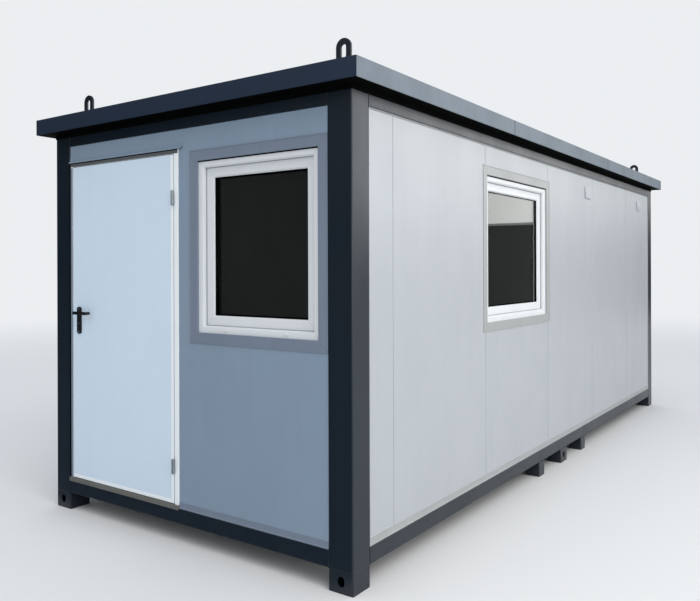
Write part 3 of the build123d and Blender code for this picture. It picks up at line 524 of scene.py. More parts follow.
def solids_of(node):
    """The lowest and highest corner of each solid in a CAD node, in order along the node."""
    bm = bmesh.new()
    bm.from_mesh(frame["nodes"][node].data)
    bmesh.ops.remove_doubles(bm, verts=bm.verts, dist=WELD_DISTANCE)
    left = set(bm.verts)
    found = []
    while left:
        stack = [left.pop()]
        points = []
        while stack:
            vertex = stack.pop()
            points.append(vertex.co.copy())
            for edge in vertex.link_edges:
                other = edge.other_vert(vertex)
                if other in left:
                    left.remove(other)
                    stack.append(other)
        low = Vector([min(p[k] for p in points) for k in range(3)])
        high = Vector([max(p[k] for p in points) for k in range(3)])
        found.append((low, high))
    bm.free()
    return sorted(found, key=lambda span: tuple(span[0]))


def new_object(name, bm):
    """An object in the scene from built geometry."""
    mesh = bpy.data.meshes.new(name)
    bm.to_mesh(mesh)
    bm.free()
    made = bpy.data.objects.new(name, mesh)
    scene.collection.objects.link(made)
    return made


def add_piece(name, bm, finish, body="cabin", rounding=0.0, smooth=False):
    """Turns built geometry into a piece of the object, with its finish and its body."""
    bmesh.ops.recalc_face_normals(bm, faces=bm.faces)
    piece = new_object(name, bm)
    piece.data.materials.append(FINISHES[finish])
    if smooth:
        for polygon in piece.data.polygons:
            polygon.use_smooth = True
    if rounding:
        round_edges(piece, rounding)
    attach(piece, body)
    return piece


def stand(origin, along, outward):
    """A place on a wall: X along it, Y up and Z out of it."""
    place = Matrix.Identity(4)
    place.col[0].xyz = along
    place.col[1].xyz = Vector(outward).cross(Vector(along))
    place.col[2].xyz = outward
    place.translation = origin
    return place


def add_block(bm, low, high, place=Matrix.Identity(4)):
    """A rectangular solid between two corners."""
    corners = [
        bm.verts.new(place @ Vector((x, y, z)))
        for z in (low[2], high[2])
        for x, y in ((low[0], low[1]), (high[0], low[1]), (high[0], high[1]), (low[0], high[1]))
    ]
    for face in ((0, 1, 2, 3), (4, 5, 6, 7), (0, 1, 5, 4), (1, 2, 6, 5), (2, 3, 7, 6), (3, 0, 4, 7)):
        bm.faces.new([corners[k] for k in face])


def add_turned(bm, place, profile, steps=CURVE_STEPS):
    """A turned solid: profile points are (radius, height) from one end of the axis to the other."""
    rings = []
    for radius, height in profile:
        if radius == 0:
            rings.append([bm.verts.new(place @ Vector((0, 0, height)))])
            continue
        ring = []
        for k in range(steps):
            angle = 2 * math.pi * k / steps
            point = Vector((radius * math.cos(angle), radius * math.sin(angle), height))
            ring.append(bm.verts.new(place @ point))
        rings.append(ring)
    for lower, upper in zip(rings, rings[1:]):
        for k in range(steps):
            n = (k + 1) % steps
            if len(lower) == 1:
                bm.faces.new((lower[0], upper[k], upper[n]))
            elif len(upper) == 1:
                bm.faces.new((lower[k], lower[n], upper[0]))
            else:
                bm.faces.new((lower[k], lower[n], upper[n], upper[k]))
    for ring in (rings[0], rings[-1]):
        if len(ring) > 1:
            bm.faces.new(ring)


def add_hoop(bm, place, half_width, half_height, profile):
    """A closed band round a rectangle with mitred corners; profile points are (inward, outward)."""
    corners = []
    for side, end in ((-1, -1), (1, -1), (1, 1), (-1, 1)):
        corner = []
        for inward, outward in profile:
            point = Vector((side * (half_width - inward), end * (half_height - inward), outward))
            corner.append(bm.verts.new(place @ point))
        corners.append(corner)
    for here, there in zip(corners, corners[1:] + corners[:1]):
        for k in range(len(profile)):
            n = (k + 1) % len(profile)
            bm.faces.new((here[k], there[k], there[n], here[n]))


def add_mitred_bars(bm, place, half_width, half_height, profile, gap):
    """Four separate bars round a rectangle that meet at mitres with a narrow gap."""
    for turn in range(4):
        along, across = (half_width, half_height) if turn % 2 == 0 else (half_height, half_width)
        turned = place @ Matrix.Rotation(turn * math.pi / 2, 4, "Z")
        ends = []
        for side in (-1, 1):
            end = []
            for inward, outward in profile:
                point = Vector((side * (along - inward - gap), inward - across, outward))
                end.append(bm.verts.new(turned @ point))
            ends.append(end)
            bm.faces.new(end)
        for k in range(len(profile)):
            n = (k + 1) % len(profile)
            bm.faces.new((ends[0][k], ends[1][k], ends[1][n], ends[0][n]))


def add_prism(bm, place, profile, length):
    """A straight bar with a given cross-section, run along the place's Z axis."""
    ends = []
    for height in (0.0, length):
        end = [bm.verts.new(place @ Vector((x, y, height))) for x, y in profile]
        bm.faces.new(end)
        ends.append(end)
    for k in range(len(profile)):
        n = (k + 1) % len(profile)
        bm.faces.new((ends[0][k], ends[1][k], ends[1][n], ends[0][n]))


def add_bead(bm, start, end, radius, pitch=0.007):
    """A weld bead: a low round rope with a ripple for each pass of the torch."""
    start, end = Vector(start), Vector(end)
    direction = (end - start).normalized()
    across = direction.orthogonal().normalized()
    up = direction.cross(across)
    count = max(2, round((end - start).length / pitch) * 2)
    rings = []
    for k in range(count + 1):
        swell = radius * (1.0 if k % 2 else 0.8)
        centre = start.lerp(end, k / count)
        ring = []
        for step in range(BEAD_STEPS):
            angle = 2 * math.pi * step / BEAD_STEPS
            ring.append(bm.verts.new(centre + swell * (math.cos(angle) * across + math.sin(angle) * up)))
        rings.append(ring)
    for lower, upper in zip(rings, rings[1:]):
        for k in range(BEAD_STEPS):
            n = (k + 1) % BEAD_STEPS
            bm.faces.new((lower[k], lower[n], upper[n], upper[k]))
    bm.faces.new(rings[0])
    bm.faces.new(rings[-1])


SCREW_PROFILE = [(0.0042, 0.0), (0.0042, 0.0008), (0.0034, 0.0019), (0.0018, 0.0024), (0.0, 0.0025)]


def add_screws(bm, places):
    """Round screw heads on a surface."""
    for place in places:
        add_turned(bm, place, SCREW_PROFILE, steps=12)


def evenly(start, finish, spacing):
    """Places from start to finish, both of them among the places, about a spacing apart."""
    bays = max(1, round(abs(finish - start) / spacing))
    return [start + (finish - start) * k / bays for k in range(bays + 1)]


def upright(x, y, z):
    """A place on a level surface, with Z up."""
    return Matrix.Translation((x, y, z))


# Where the frame's main faces are
SIDES_AND_ENDS = [(side, end) for side in (-1, 1) for end in (-1, 1)]
POST_LOW, POST_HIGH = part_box("corner_post_front_right")
HALF_WIDTH = POST_HIGH.x
HALF_LENGTH = -POST_LOW.y
POST_SIZE = POST_HIGH.x - POST_LOW.x
POST_INNER_X = HALF_WIDTH - POST_SIZE
POST_INNER_Y = HALF_LENGTH - POST_SIZE
FLOOR_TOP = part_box("floor_board")[1].z
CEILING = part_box("ceiling_panel")[0].z
ROOF_LOW, ROOF_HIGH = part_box("roof_sheet")
PANELS = solids_of("left_wall_panels")
PANEL_OUTER = -PANELS[0][0].x
PANEL_INNER = -PANELS[0][1].x
SEAMS = [(here[1].y + there[0].y) / 2 for here, there in zip(PANELS, PANELS[1:])]
FRONT_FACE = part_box("front_wall_window_panel")[0].y


class Window:
    """One window's place on its wall and its half sizes, from the box of its surround."""

    def __init__(self, trim, along, outward):
        low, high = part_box(trim)
        middle = (low + high) / 2
        along, outward = Vector(along), Vector(outward)
        face = max(low.dot(outward), high.dot(outward)) - TRIM_SHEET
        middle += (face - middle.dot(outward)) * outward
        self.trim = trim
        self.place = stand(middle, along, outward)
        self.half_width = abs((high - low).dot(along)) / 2 - TRIM_WIDTH
        self.half_height = (high.z - low.z) / 2 - TRIM_WIDTH


WINDOWS = {
    "front": Window("front_window_trim", (1, 0, 0), (0, -1, 0)),
    "side": Window("side_window_trim", (0, 1, 0), (1, 0, 0)),
}


def make_surround(name, window, material):
    """The sheet surround in four mitred bars with a folded hem, on the wall and back to the frame."""
    profile = [
        (0.0, 0.0),
        (0.0, TRIM_SHEET + HEM_HEIGHT * 0.7),
        (0.0015, TRIM_SHEET + HEM_HEIGHT),
        (HEM_WIDTH - 0.0015, TRIM_SHEET + HEM_HEIGHT),
        (HEM_WIDTH, TRIM_SHEET),
        (TRIM_WIDTH - 0.001, TRIM_SHEET),
        (TRIM_WIDTH + TRIM_SHEET, TRIM_SHEET - 0.001),
        (TRIM_WIDTH + TRIM_SHEET, -FRAME_RECESS),
        (TRIM_WIDTH, -FRAME_RECESS),
        (TRIM_WIDTH, 0.0),
    ]
    bm = bmesh.new()
    width, height = window.half_width + TRIM_WIDTH, window.half_height + TRIM_WIDTH
    add_mitred_bars(bm, window.place, width, height, profile, MITRE_GAP)
    piece = add_piece(f"{name}_surround", bm, material)
    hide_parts(window.trim)


def make_window_seals(name, window):
    """The rubber round sash and glass, the spacer between the panes, and a black strip at the frame's head
    that paints the shadow under the surround's top.
    """
    frame_plane = -FRAME_RECESS
    sash_plane = frame_plane - SASH_STEP
    glass_plane = sash_plane - GLASS_STEP
    bm = bmesh.new()
    inward = FRAME_FACE
    add_hoop(bm, window.place, window.half_width, window.half_height, [
        (inward - 0.004, sash_plane),
        (inward - 0.004, sash_plane + 0.006),
        (inward + 0.001, sash_plane + 0.005),
        (inward + 0.004, sash_plane),
    ])
    add_piece(f"{name}_sash_seal", bm, "grey_rubber")
    bm = bmesh.new()
    inward = FRAME_FACE + SASH_FACE
    add_hoop(bm, window.place, window.half_width, window.half_height, [
        (inward - 0.002, glass_plane),
        (inward - 0.002, glass_plane + 0.009),
        (inward + GASKET * 0.5, glass_plane + 0.007),
        (inward + GASKET, glass_plane + 0.0005),
        (inward + GASKET, glass_plane),
    ])
    add_piece(f"{name}_glazing_seal", bm, "black_rubber")
    pane = 0.004
    front, back = glass_plane - pane, glass_plane - GLASS_THICKNESS + pane
    bm = bmesh.new()
    add_hoop(bm, window.place, window.half_width, window.half_height, [
        (inward - 0.006, front),
        (inward + 0.008, front),
        (inward + 0.008, back),
        (inward - 0.006, back),
    ])
    add_piece(f"{name}_glass_spacer", bm, "black_rubber")
    # Painted shadow: a black strip along the head of the frame, under the top of the surround.
    reach = window.half_width - 0.003
    bm = bmesh.new()
    low = (-reach, window.half_height - 0.009, frame_plane)
    add_block(bm, low, (reach, window.half_height - 0.002, frame_plane + 0.004), window.place)
    add_piece(f"{name}_painted_head_shadow", bm, "black_rubber", rounding=0.0015)


WEEP_CAP_PROFILE = [(0.0065, 0.0), (0.0065, 0.0022), (0.0050, 0.0036), (0.0, 0.0042)]


def make_window_fittings(name, window):
    """Weep-hole caps on the foot of the frame and the welded mitres of frame and sash."""
    level = -window.half_height + FRAME_FACE / 2
    long_cap = Matrix.Diagonal((2.4, 1.0, 1.0, 1.0))
    bm = bmesh.new()
    for share in (-0.5, 0.5):
        centre = Matrix.Translation((share * window.half_width, level, -FRAME_RECESS))
        add_turned(bm, window.place @ centre @ long_cap, WEEP_CAP_PROFILE)
    add_piece(f"{name}_weep_caps", bm, "white_pvc", smooth=True)
    bm = bmesh.new()
    sash_plane = -FRAME_RECESS - SASH_STEP
    rings = (
        (0.001, FRAME_FACE - FRAME_BEVEL, -FRAME_RECESS),
        (FRAME_FACE + 0.001, FRAME_FACE + SASH_FACE - SASH_BEVEL, sash_plane),
    )
    for outer, inner, plane in rings:
        for side, end in SIDES_AND_ENDS:
            start, finish = (
                Vector((side * (window.half_width - inset), end * (window.half_height - inset), plane))
                for inset in (outer, inner)
            )
            add_bead(bm, window.place @ start, window.place @ finish, radius=0.0005, pitch=0.02)
    add_piece(f"{name}_corner_welds", bm, "grey_rubber")


for name, window in WINDOWS.items():
    # The front surround takes slate_trim, the silver trim painted with the shade of the door end.
    make_surround(name, window, "slate_trim" if name == "front" else "silver_trim")
    make_window_seals(name, window)
    make_window_fittings(name, window)


def make_panel_seals():
    """Sealant in the joints of the long walls and the back wall, fullest beside the corner strips."""
    foot, head = FLOOR_TOP + 0.036, CEILING - 0.008
    root = 0.006
    overlap = 0.005
    bm = bmesh.new()
    for side in (-1, 1):
        for seam in SEAMS:
            half, depth = (0.0115, 0.0005) if seam in (SEAMS[0], SEAMS[-1]) else (0.0060, 0.0018)
            inner, outer = sorted((side * (PANEL_OUTER - root), side * (PANEL_OUTER - depth)))
            add_block(bm, (inner, seam - half, foot), (outer, seam + half, head))
    back = solids_of("back_wall_panels")
    for here, there in zip(back, back[1:]):
        face = here[1].y
        low = (here[1].x - overlap, face - root, foot)
        add_block(bm, low, (there[0].x + overlap, face - 0.0016, head))
    add_piece("panel_joint_seals", bm, "joint_sealant")


def make_wall_edge_seals():
    """The fillet of sealant between the long walls and the frame round them."""
    width, depth, toe = 0.010, WALL_INSET - 0.001, 0.002
    fillet = [(0.0, 0.0), (width, 0.0), (toe, depth), (0.0, depth)]
    foot = FLOOR_TOP + 0.005
    bm = bmesh.new()
    for side in (-1, 1):
        for end in (-1, 1):
            rise = Matrix(((0, side, 0, 0), (-end, 0, 0, 0), (0, 0, 1, 0), (0, 0, 0, 1)))
            start = Matrix.Translation((side * PANEL_OUTER, end * POST_INNER_Y, foot))
            add_prism(bm, start @ rise, fillet, CEILING - foot)
        run = Matrix(((0, side, 0, 0), (0, 0, 1, 0), (-1, 0, 0, 0), (0, 0, 0, 1)))
        start = Matrix.Translation((side * PANEL_OUTER, -POST_INNER_Y, CEILING))
        add_prism(bm, start @ run, fillet, 2 * POST_INNER_Y)
    add_piece("wall_edge_seals", bm, "edge_sealant")


def make_fascia_seals():
    """Sealant over the joints between the lengths of the long fascias."""
    half, root, proud = 0.0022, 0.002, 0.0006
    inset = 0.001
    bm = bmesh.new()
    for node, side in (("fascia_right", 1), ("fascia_left", -1)):
        lengths = sorted(solids_of(node), key=lambda span: span[0].y)
        for here, there in zip(lengths, lengths[1:]):
            middle = (here[1].y + there[0].y) / 2
            face = here[1].x if side > 0 else -here[0].x
            inner, outer = sorted((side * (face - root), side * (face + proud)))
            low = (inner, middle - half, here[0].z + inset)
            add_block(bm, low, (outer, middle + half, here[1].z - inset))
    add_piece("fascia_joint_sealant", bm, "black_rubber")


make_panel_seals()
make_wall_edge_seals()
make_fascia_seals()


def add_turned_ring(bm, place, profile, steps=CURVE_STEPS):
    """A turned ring: the profile of (radius, height) points is closed on itself."""
    loops = []
    for k in range(steps):
        angle = 2 * math.pi * k / steps
        turn = (math.cos(angle), math.sin(angle))
        loops.append([bm.verts.new(place @ Vector((r * turn[0], r * turn[1], z))) for r, z in profile])
    for here, there in zip(loops, loops[1:] + loops[:1]):
        for k in range(len(profile)):
            n = (k + 1) % len(profile)
            bm.faces.new((here[k], there[k], there[n], here[n]))


# Roof edge and door places
FASCIA_LOW, FASCIA_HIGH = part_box("fascia_front")
OVERHANG = -FASCIA_LOW.y - HALF_LENGTH
FASCIA_BOTTOM = FASCIA_LOW.z
FASCIA_TOP = FASCIA_HIGH.z
FRAME_TOP = ROOF_LOW.z
FOOT_TOP = POST_LOW.z
WALL_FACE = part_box("right_wall_panels")[1].x
LEAF_LOW, LEAF_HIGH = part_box("door_leaf")
JAMBS_LOW, JAMBS_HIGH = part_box("door_frame")


def make_painted_soffit_shade():
    """Painted shade: a black band under the fascia and down the top of the rails behind it, where the
    overhang's shadow falls.
    """
    face = OVERHANG - 0.002
    plane = FASCIA_BOTTOM - 0.0015
    bm = bmesh.new()
    add_hoop(bm, Matrix.Identity(4), HALF_WIDTH + OVERHANG, HALF_LENGTH + OVERHANG, [
        (FASCIA_SHEET, FASCIA_BOTTOM),
        (FASCIA_SHEET, plane),
        (face, plane),
        (face, FASCIA_BOTTOM - 0.024),
        (OVERHANG, FASCIA_BOTTOM - 0.028),
        (OVERHANG, FASCIA_BOTTOM),
    ])
    add_piece("painted_shade_under_fascia", bm, "black_rubber")


def make_roof_edges():
    """The upstands between the roof sheet and the fascia, and the sealant along their feet."""
    low, high = ROOF_LOW.z + 0.003, FASCIA_TOP - FASCIA_SHEET
    inner = FASCIA_TOP_WIDTH - OVERHANG
    end_x, end_y = HALF_WIDTH - UPSTAND_START, HALF_LENGTH - UPSTAND_START
    sheet = 0.002
    bead = {"radius": 0.005, "pitch": 0.05}
    bm = bmesh.new()
    sealant = bmesh.new()
    for side in (-1, 1):
        foot = side * (HALF_WIDTH - inner)
        near, far = sorted((foot, side * (HALF_WIDTH - inner + sheet)))
        add_block(bm, (near, -end_y, low), (far, end_y, high))
        add_bead(sealant, (foot, -end_y, low), (foot, end_y, low), **bead)
        foot = side * (HALF_LENGTH - inner)
        near, far = sorted((foot, side * (HALF_LENGTH - inner + sheet)))
        add_block(bm, (-end_x, near, low), (end_x, far, high))
        add_bead(sealant, (-end_x, foot, low), (end_x, foot, low), **bead)
    add_piece("roof_edge_upstands", bm, "zinc_sheet")
    add_piece("roof_edge_sealant", sealant, "grey_rubber", smooth=True)


ROOF_WASHER_PROFILE = [(0.0085, 0.0), (0.0085, 0.0012), (0.0070, 0.0020), (0.0, 0.0020)]
ROOF_SCREW_PROFILE = [(0.0046, 0.0015), (0.0046, 0.0058), (0.0038, 0.0066), (0.0, 0.0066)]


def make_roof_screws():
    """Hexagon screws with washers along the crown of each roof rib."""
    sheet = frame["nodes"]["roof_sheet"].data
    edges = sorted({round(v.co.y, 3) for v in sheet.vertices if v.co.z > ROOF_HIGH.z - 0.001})
    crowns = [(first + second) / 2 for first, second in zip(edges[::2], edges[1::2])]
    reach = HALF_WIDTH - ROOF_SCREW_MARGIN
    heads = bmesh.new()
    washers = bmesh.new()
    for y in crowns:
        for x in evenly(-reach, reach, ROOF_SCREW_SPACING):
            place = upright(x, y, ROOF_HIGH.z)
            add_turned(washers, place, ROOF_WASHER_PROFILE, steps=14)
            add_turned(heads, place, ROOF_SCREW_PROFILE, steps=6)
    add_piece("roof_screw_heads", heads, "hinge_steel")
    add_piece("roof_screw_washers", washers, "black_rubber")


def make_frame_welds():
    """Weld beads where rails meet posts, posts meet feet, and lugs and the feet between meet the frame."""
    bm = bmesh.new()
    skin, trim = 0.0012, 0.007
    for side, end in SIDES_AND_ENDS:
        outer_x, outer_y = side * (HALF_WIDTH - skin), end * (HALF_LENGTH - skin)
        inner_x, inner_y = side * (POST_INNER_X + skin), end * (POST_INNER_Y + skin)
        for low, high in ((FOOT_TOP, FLOOR_TOP), (CEILING, FASCIA_BOTTOM)):
            for x, y in ((outer_x, end * POST_INNER_Y), (side * POST_INNER_X, outer_y)):
                add_bead(bm, (x, y, low), (x, y, high), 0.0028)
        for x in (outer_x, inner_x):
            add_bead(bm, (x, inner_y + end * trim, FOOT_TOP), (x, outer_y - end * trim, FOOT_TOP), 0.0026)
        for y in (outer_y, inner_y):
            add_bead(bm, (inner_x + side * trim, y, FOOT_TOP), (outer_x - side * trim, y, FOOT_TOP), 0.0026)
        lug_x = side * (HALF_WIDTH - LUG_FROM_SIDE)
        level = FRAME_TOP + LUG_BASE_TOP
        for face in (-1, 1):
            y = end * (HALF_LENGTH - LUG_FROM_END) + face * LUG_THICKNESS / 2
            add_bead(bm, (lug_x - LUG_HALF_WIDTH, y, level), (lug_x + LUG_HALF_WIDTH, y, level), 0.004)
    for low, high in solids_of("mid_feet") + solids_of("pocket_feet"):
        for y in (low.y + 0.002, high.y - 0.002):
            add_bead(bm, (low.x + 0.008, y, high.z), (high.x - 0.008, y, high.z), 0.003)
    add_piece("frame_weld_beads", bm, "anthracite_paint", smooth=True)


RIVET_PROFILE = [(0.0040, 0.0), (0.0040, 0.0006), (0.0030, 0.0017), (0.0, 0.0021)]


def make_flashing_rivets():
    """Rivets along the base flashing of the long walls and of the ends."""
    sheet = 0.002
    level = FLOOR_TOP + 0.026
    reach = POST_INNER_Y - 0.08
    bm = bmesh.new()
    for side in (-1, 1):
        for y in evenly(-reach, reach, RIVET_SPACING):
            place = stand((side * (WALL_FACE + sheet), y, level), (0, side, 0), (side, 0, 0))
            add_turned(bm, place, RIVET_PROFILE, steps=10)
    add_piece("side_flashing_rivets", bm, "silver_trim", smooth=True)
    margin = 0.06
    bm = bmesh.new()
    for end, start in ((-1, JAMBS_HIGH.x), (1, -POST_INNER_X)):
        for x in evenly(start + margin, POST_INNER_X - margin, END_RIVET_SPACING):
            place = stand((x, end * (-FRONT_FACE + sheet), level), (-end, 0, 0), (0, end, 0))
            add_turned(bm, place, RIVET_PROFILE, steps=10)
    # The end rivets take slate_trim, the silver trim painted with the shade of the door end.
    add_piece("end_flashing_rivets", bm, "slate_trim", smooth=True)


def make_door_seals():
    """The seals of the doorway, in the gaps and on the stops, and painted shade: black strips beside the lock
    jamb and under the drip cap, and grey strips over the head and lock jambs, where the cap and the post
    shade the frame.
    """
    face = -HALF_LENGTH
    left, right = JAMBS_LOW.x, JAMBS_HIGH.x
    lock_edge, hinge_edge = LEAF_LOW.x - DOOR_GAP, LEAF_HIGH.x + DOOR_GAP
    foot, head = LEAF_LOW.z, LEAF_HIGH.z
    painted_head_shadow = JAMBS_HIGH.z - 0.006
    stop_seal = 0.012
    stop_near, stop_far = LEAF_HIGH.y + 0.0008, LEAF_HIGH.y + DOOR_GAP
    cap_low, cap_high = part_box("door_drip_cap")
    bm = bmesh.new()
    # Painted shade: a black strip on the lock jamb beside the post, where the post shades it.
    add_block(bm, (left - 0.002, face - 0.0018, JAMBS_LOW.z), (left + 0.013, face, JAMBS_HIGH.z))
    # Painted shadow: a black strip under the drip cap, where the cap's shadow falls.
    add_block(bm, (cap_low.x, cap_low.y + 0.003, cap_low.z + 0.0005), (cap_high.x, face, cap_low.z + 0.0055))
    # Painted shadow: a black strip along the top of the head jamb, under the drip cap.
    add_block(bm, (left, face - 0.0030, painted_head_shadow), (right, face, JAMBS_HIGH.z))
    add_block(bm, (lock_edge, face + 0.004, foot), (lock_edge + 0.0024, face + 0.012, head))
    for low_x in (lock_edge, hinge_edge - stop_seal):
        add_block(bm, (low_x, stop_near, foot), (low_x + stop_seal, stop_far, head))
    low = (lock_edge + stop_seal, stop_near, head - 0.007)
    add_block(bm, low, (hinge_edge - stop_seal, stop_far - 0.0003, head + 0.005))
    add_piece("doorway_seals_and_painted_shade", bm, "black_rubber", rounding=0.0008)
    bm = bmesh.new()
    add_block(bm, (hinge_edge - 0.0026, face + 0.0012, foot), (hinge_edge, face + 0.009, head))
    add_block(bm, (LEAF_LOW.x, face + 0.002, head + 0.0012), (LEAF_HIGH.x, face + 0.012, head + 0.005))
    add_piece("hinge_side_seal", bm, "grey_rubber", rounding=0.0008)
    # Painted shade: a dark grey strip over the head jamb, shaded by the drip cap.
    strip_face = face - 0.0014
    bm = bmesh.new()
    add_block(bm, (left, strip_face, head + 0.0052), (right, face, painted_head_shadow))
    add_piece("head_jamb_painted_shade", bm, "head_shade_grey", rounding=0.0005)
    # Painted shade: a slate strip over the lock jamb, shaded by the post.
    bm = bmesh.new()
    high = (lock_edge - 0.001, face, JAMBS_HIGH.z - 0.030)
    add_block(bm, (left + 0.0135, strip_face, JAMBS_LOW.z), high)
    add_piece("lock_jamb_painted_shade", bm, "slate_trim", rounding=0.0006)


LATCH_OUTLINE = [(-0.012, -0.006), (0.012, -0.006), (0.012, 0.006), (-0.012, 0.006)]


def make_leaf_strips():
    """The white edge strip on the hinge side of the leaf, the foot strip, and the plates of the lock."""
    face = LEAF_LOW.y
    foot, head = LEAF_LOW.z + 0.001, LEAF_HIGH.z - 0.001
    bm = bmesh.new()
    add_block(bm, (LEAF_HIGH.x - 0.022, face - 0.0014, foot), (LEAF_HIGH.x - 0.0012, face, head))
    high = (LEAF_HIGH.x - 0.0225, face, LEAF_LOW.z + 0.022)
    add_block(bm, (LEAF_LOW.x + 0.0015, face - 0.0012, foot), high)
    add_piece("leaf_edge_strips", bm, "jamb_paint", body="door", rounding=0.0006)
    cylinder_low, cylinder_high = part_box("door_lock_cylinder")
    level = (cylinder_low.z + cylinder_high.z) / 2 + 0.036
    middle = (LEAF_LOW.y + LEAF_HIGH.y) / 2
    edge = LEAF_LOW.x
    bm = bmesh.new()
    low = (edge - 0.0008, middle - 0.010, level - 0.118)
    add_block(bm, low, (edge + 0.0012, middle + 0.010, level + 0.118))
    latch = Matrix.Translation((edge - 0.0006, middle, level + 0.038))
    add_prism(bm, latch @ Matrix.Rotation(-math.pi / 2, 4, "Y"), LATCH_OUTLINE, 0.0022)
    add_piece("lock_forend", bm, "lock_metal", body="door")
    jamb = edge - DOOR_GAP
    bm = bmesh.new()
    low = (jamb - 0.0006, middle - 0.014, level - 0.090)
    add_block(bm, low, (jamb + 0.0012, middle + 0.012, level + 0.090))
    add_piece("strike_plate", bm, "lock_metal")


NECK_RIM_PROFILE = [(0.0096, 0.0), (0.0130, 0.0), (0.0130, 0.0018), (0.0112, 0.0030), (0.0096, 0.0030)]
CYLINDER_RIM_PROFILE = [(0.0088, 0.0), (0.0116, 0.0), (0.0108, 0.0014), (0.0088, 0.0018)]


def make_handle_details():
    """Screws and rims on the handle plates, and the keyways in the lock cylinder."""
    plate_low, plate_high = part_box("door_handle_plates")
    cylinder_low, cylinder_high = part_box("door_lock_cylinder")
    lever_low, lever_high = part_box("door_lever")
    x = (plate_low.x + plate_high.x) / 2
    lever_level = (lever_low.z + lever_high.z) / 2
    cylinder_level = (cylinder_low.z + cylinder_high.z) / 2
    screw_margin = 0.014
    screws = bmesh.new()
    rims = bmesh.new()
    keyways = bmesh.new()
    for outward, plate, cylinder in ((-1, plate_low.y, cylinder_low.y), (1, plate_high.y, cylinder_high.y)):
        facing = (1, 0, 0), (0, outward, 0)
        for level in (plate_high.z - screw_margin, plate_low.z + screw_margin):
            add_screws(screws, [stand((x, plate, level), *facing)])
        add_turned_ring(rims, stand((x, plate, lever_level), *facing), NECK_RIM_PROFILE)
        add_turned_ring(rims, stand((x, plate, cylinder_level), *facing), CYLINDER_RIM_PROFILE)
        near, far = sorted((cylinder, cylinder + outward * 0.0002))
        low = (x - 0.0011, near, cylinder_level - 0.0050)
        add_block(keyways, low, (x + 0.0011, far, cylinder_level + 0.0045))
    add_piece("handle_plate_screws", screws, "hinge_steel", body="door", smooth=True)
    add_piece("handle_plate_rims", rims, "black_fitting", body="door", smooth=True)
    add_piece("cylinder_keyways", keyways, "black_rubber", body="door")


def make_hinge_details():
    """Domed ends on the hinge knuckles."""
    shape = [(1.0, 0.0), (1.0, 0.0012), (0.86, 0.0028), (0.52, 0.0039), (0.0, 0.0042)]
    dome = [(HINGE_RADIUS * share, height) for share, height in shape]
    bm = bmesh.new()
    for low, high in solids_of("door_hinge_frame_halves"):
        foot = upright(low.x + HINGE_RADIUS, low.y + HINGE_RADIUS, low.z)
        add_turned(bm, foot @ Matrix.Rotation(math.pi, 4, "X"), dome)
    add_piece("hinge_foot_domes", bm, "hinge_steel", smooth=True)
    bm = bmesh.new()
    for low, high in solids_of("door_hinge_leaf_halves"):
        add_turned(bm, upright(high.x - HINGE_RADIUS, low.y + HINGE_RADIUS, high.z), dome)
    add_piece("hinge_head_domes", bm, "hinge_steel", body="door", smooth=True)


def make_threshold_tread():
    """Grip ribs and screws on the threshold."""
    low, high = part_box("door_threshold")
    first, pitch, width, height = 0.012, 0.010, 0.004, 0.0012
    margin = 0.004
    bm = bmesh.new()
    for k in range(4):
        y = low.y + first + k * pitch
        add_block(bm, (low.x + margin, y, high.z), (high.x - margin, y + width, high.z + height))
    places = evenly(low.x + 0.09, high.x - 0.09, 0.4)
    add_screws(bm, [upright(x, low.y + 0.064, high.z) for x in places])
    add_piece("threshold_tread", bm, "threshold_aluminium", rounding=0.0004)


for step in (
    make_painted_soffit_shade,
    make_roof_edges,
    make_roof_screws,
    make_frame_welds,
    make_flashing_rivets,
    make_door_seals,
    make_leaf_strips,
    make_handle_details,
    make_hinge_details,
    make_threshold_tread,
):
    step()


SASH_HINGE_PROFILE = [(0.0055, 0.0), (0.0065, 0.002), (0.0065, 0.058), (0.0055, 0.060), (0.0, 0.060)]


def make_window_rooms(name, window):
    """The room side of a window: casing, board and sash hinges."""
    wall = -WALL_THICKNESS - LINING
    face = wall - 0.012
    inner = CASING_WIDTH - 0.001
    width, height = window.half_width + CASING_WIDTH, window.half_height + CASING_WIDTH
    profile = [(0.0, wall), (0.0, face + 0.003), (0.003, face), (inner, face), (inner, wall)]
    bm = bmesh.new()
    add_mitred_bars(bm, window.place, width, height, profile, 0.0002)
    board_reach, board_thickness, board_depth = 0.015, 0.022, 0.135
    low = (-width - board_reach, -height - board_thickness, wall - board_depth)
    add_block(bm, low, (width + board_reach, -height, wall), window.place)
    add_piece(f"{name}_casing_and_board", bm, "white_pvc", rounding=0.002)
    bm = bmesh.new()
    back = -FRAME_RECESS - SASH_STEP - SASH_DEPTH
    across = -window.half_width + FRAME_FACE - 0.010
    for share in (-0.72, 0.72):
        foot = Matrix.Translation((across, share * window.half_height - 0.03, back - 0.004))
        turned = window.place @ foot @ Matrix.Rotation(-math.pi / 2, 4, "X")
        add_turned(bm, turned, SASH_HINGE_PROFILE)
    add_piece(f"{name}_sash_hinges", bm, "white_pvc", rounding=0.0006)


for name, window in WINDOWS.items():
    make_window_rooms(name, window)


# Places of the inner wall faces
ROOM_X = PANEL_INNER
ROOM_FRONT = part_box("front_wall_window_panel")[1].y
ROOM_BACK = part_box("back_wall_panels")[0].y
ROOM_HEIGHT = CEILING - FLOOR_TOP


def window_opening(window, along, start):
    """A window's opening on an inner wall: its span along the wall and its span in height."""
    centre = window.place.translation
    middle = centre.dot(along) - start
    low = centre.z - FLOOR_TOP - window.half_height
    return (middle - window.half_width, middle + window.half_width, low, low + 2 * window.half_height)


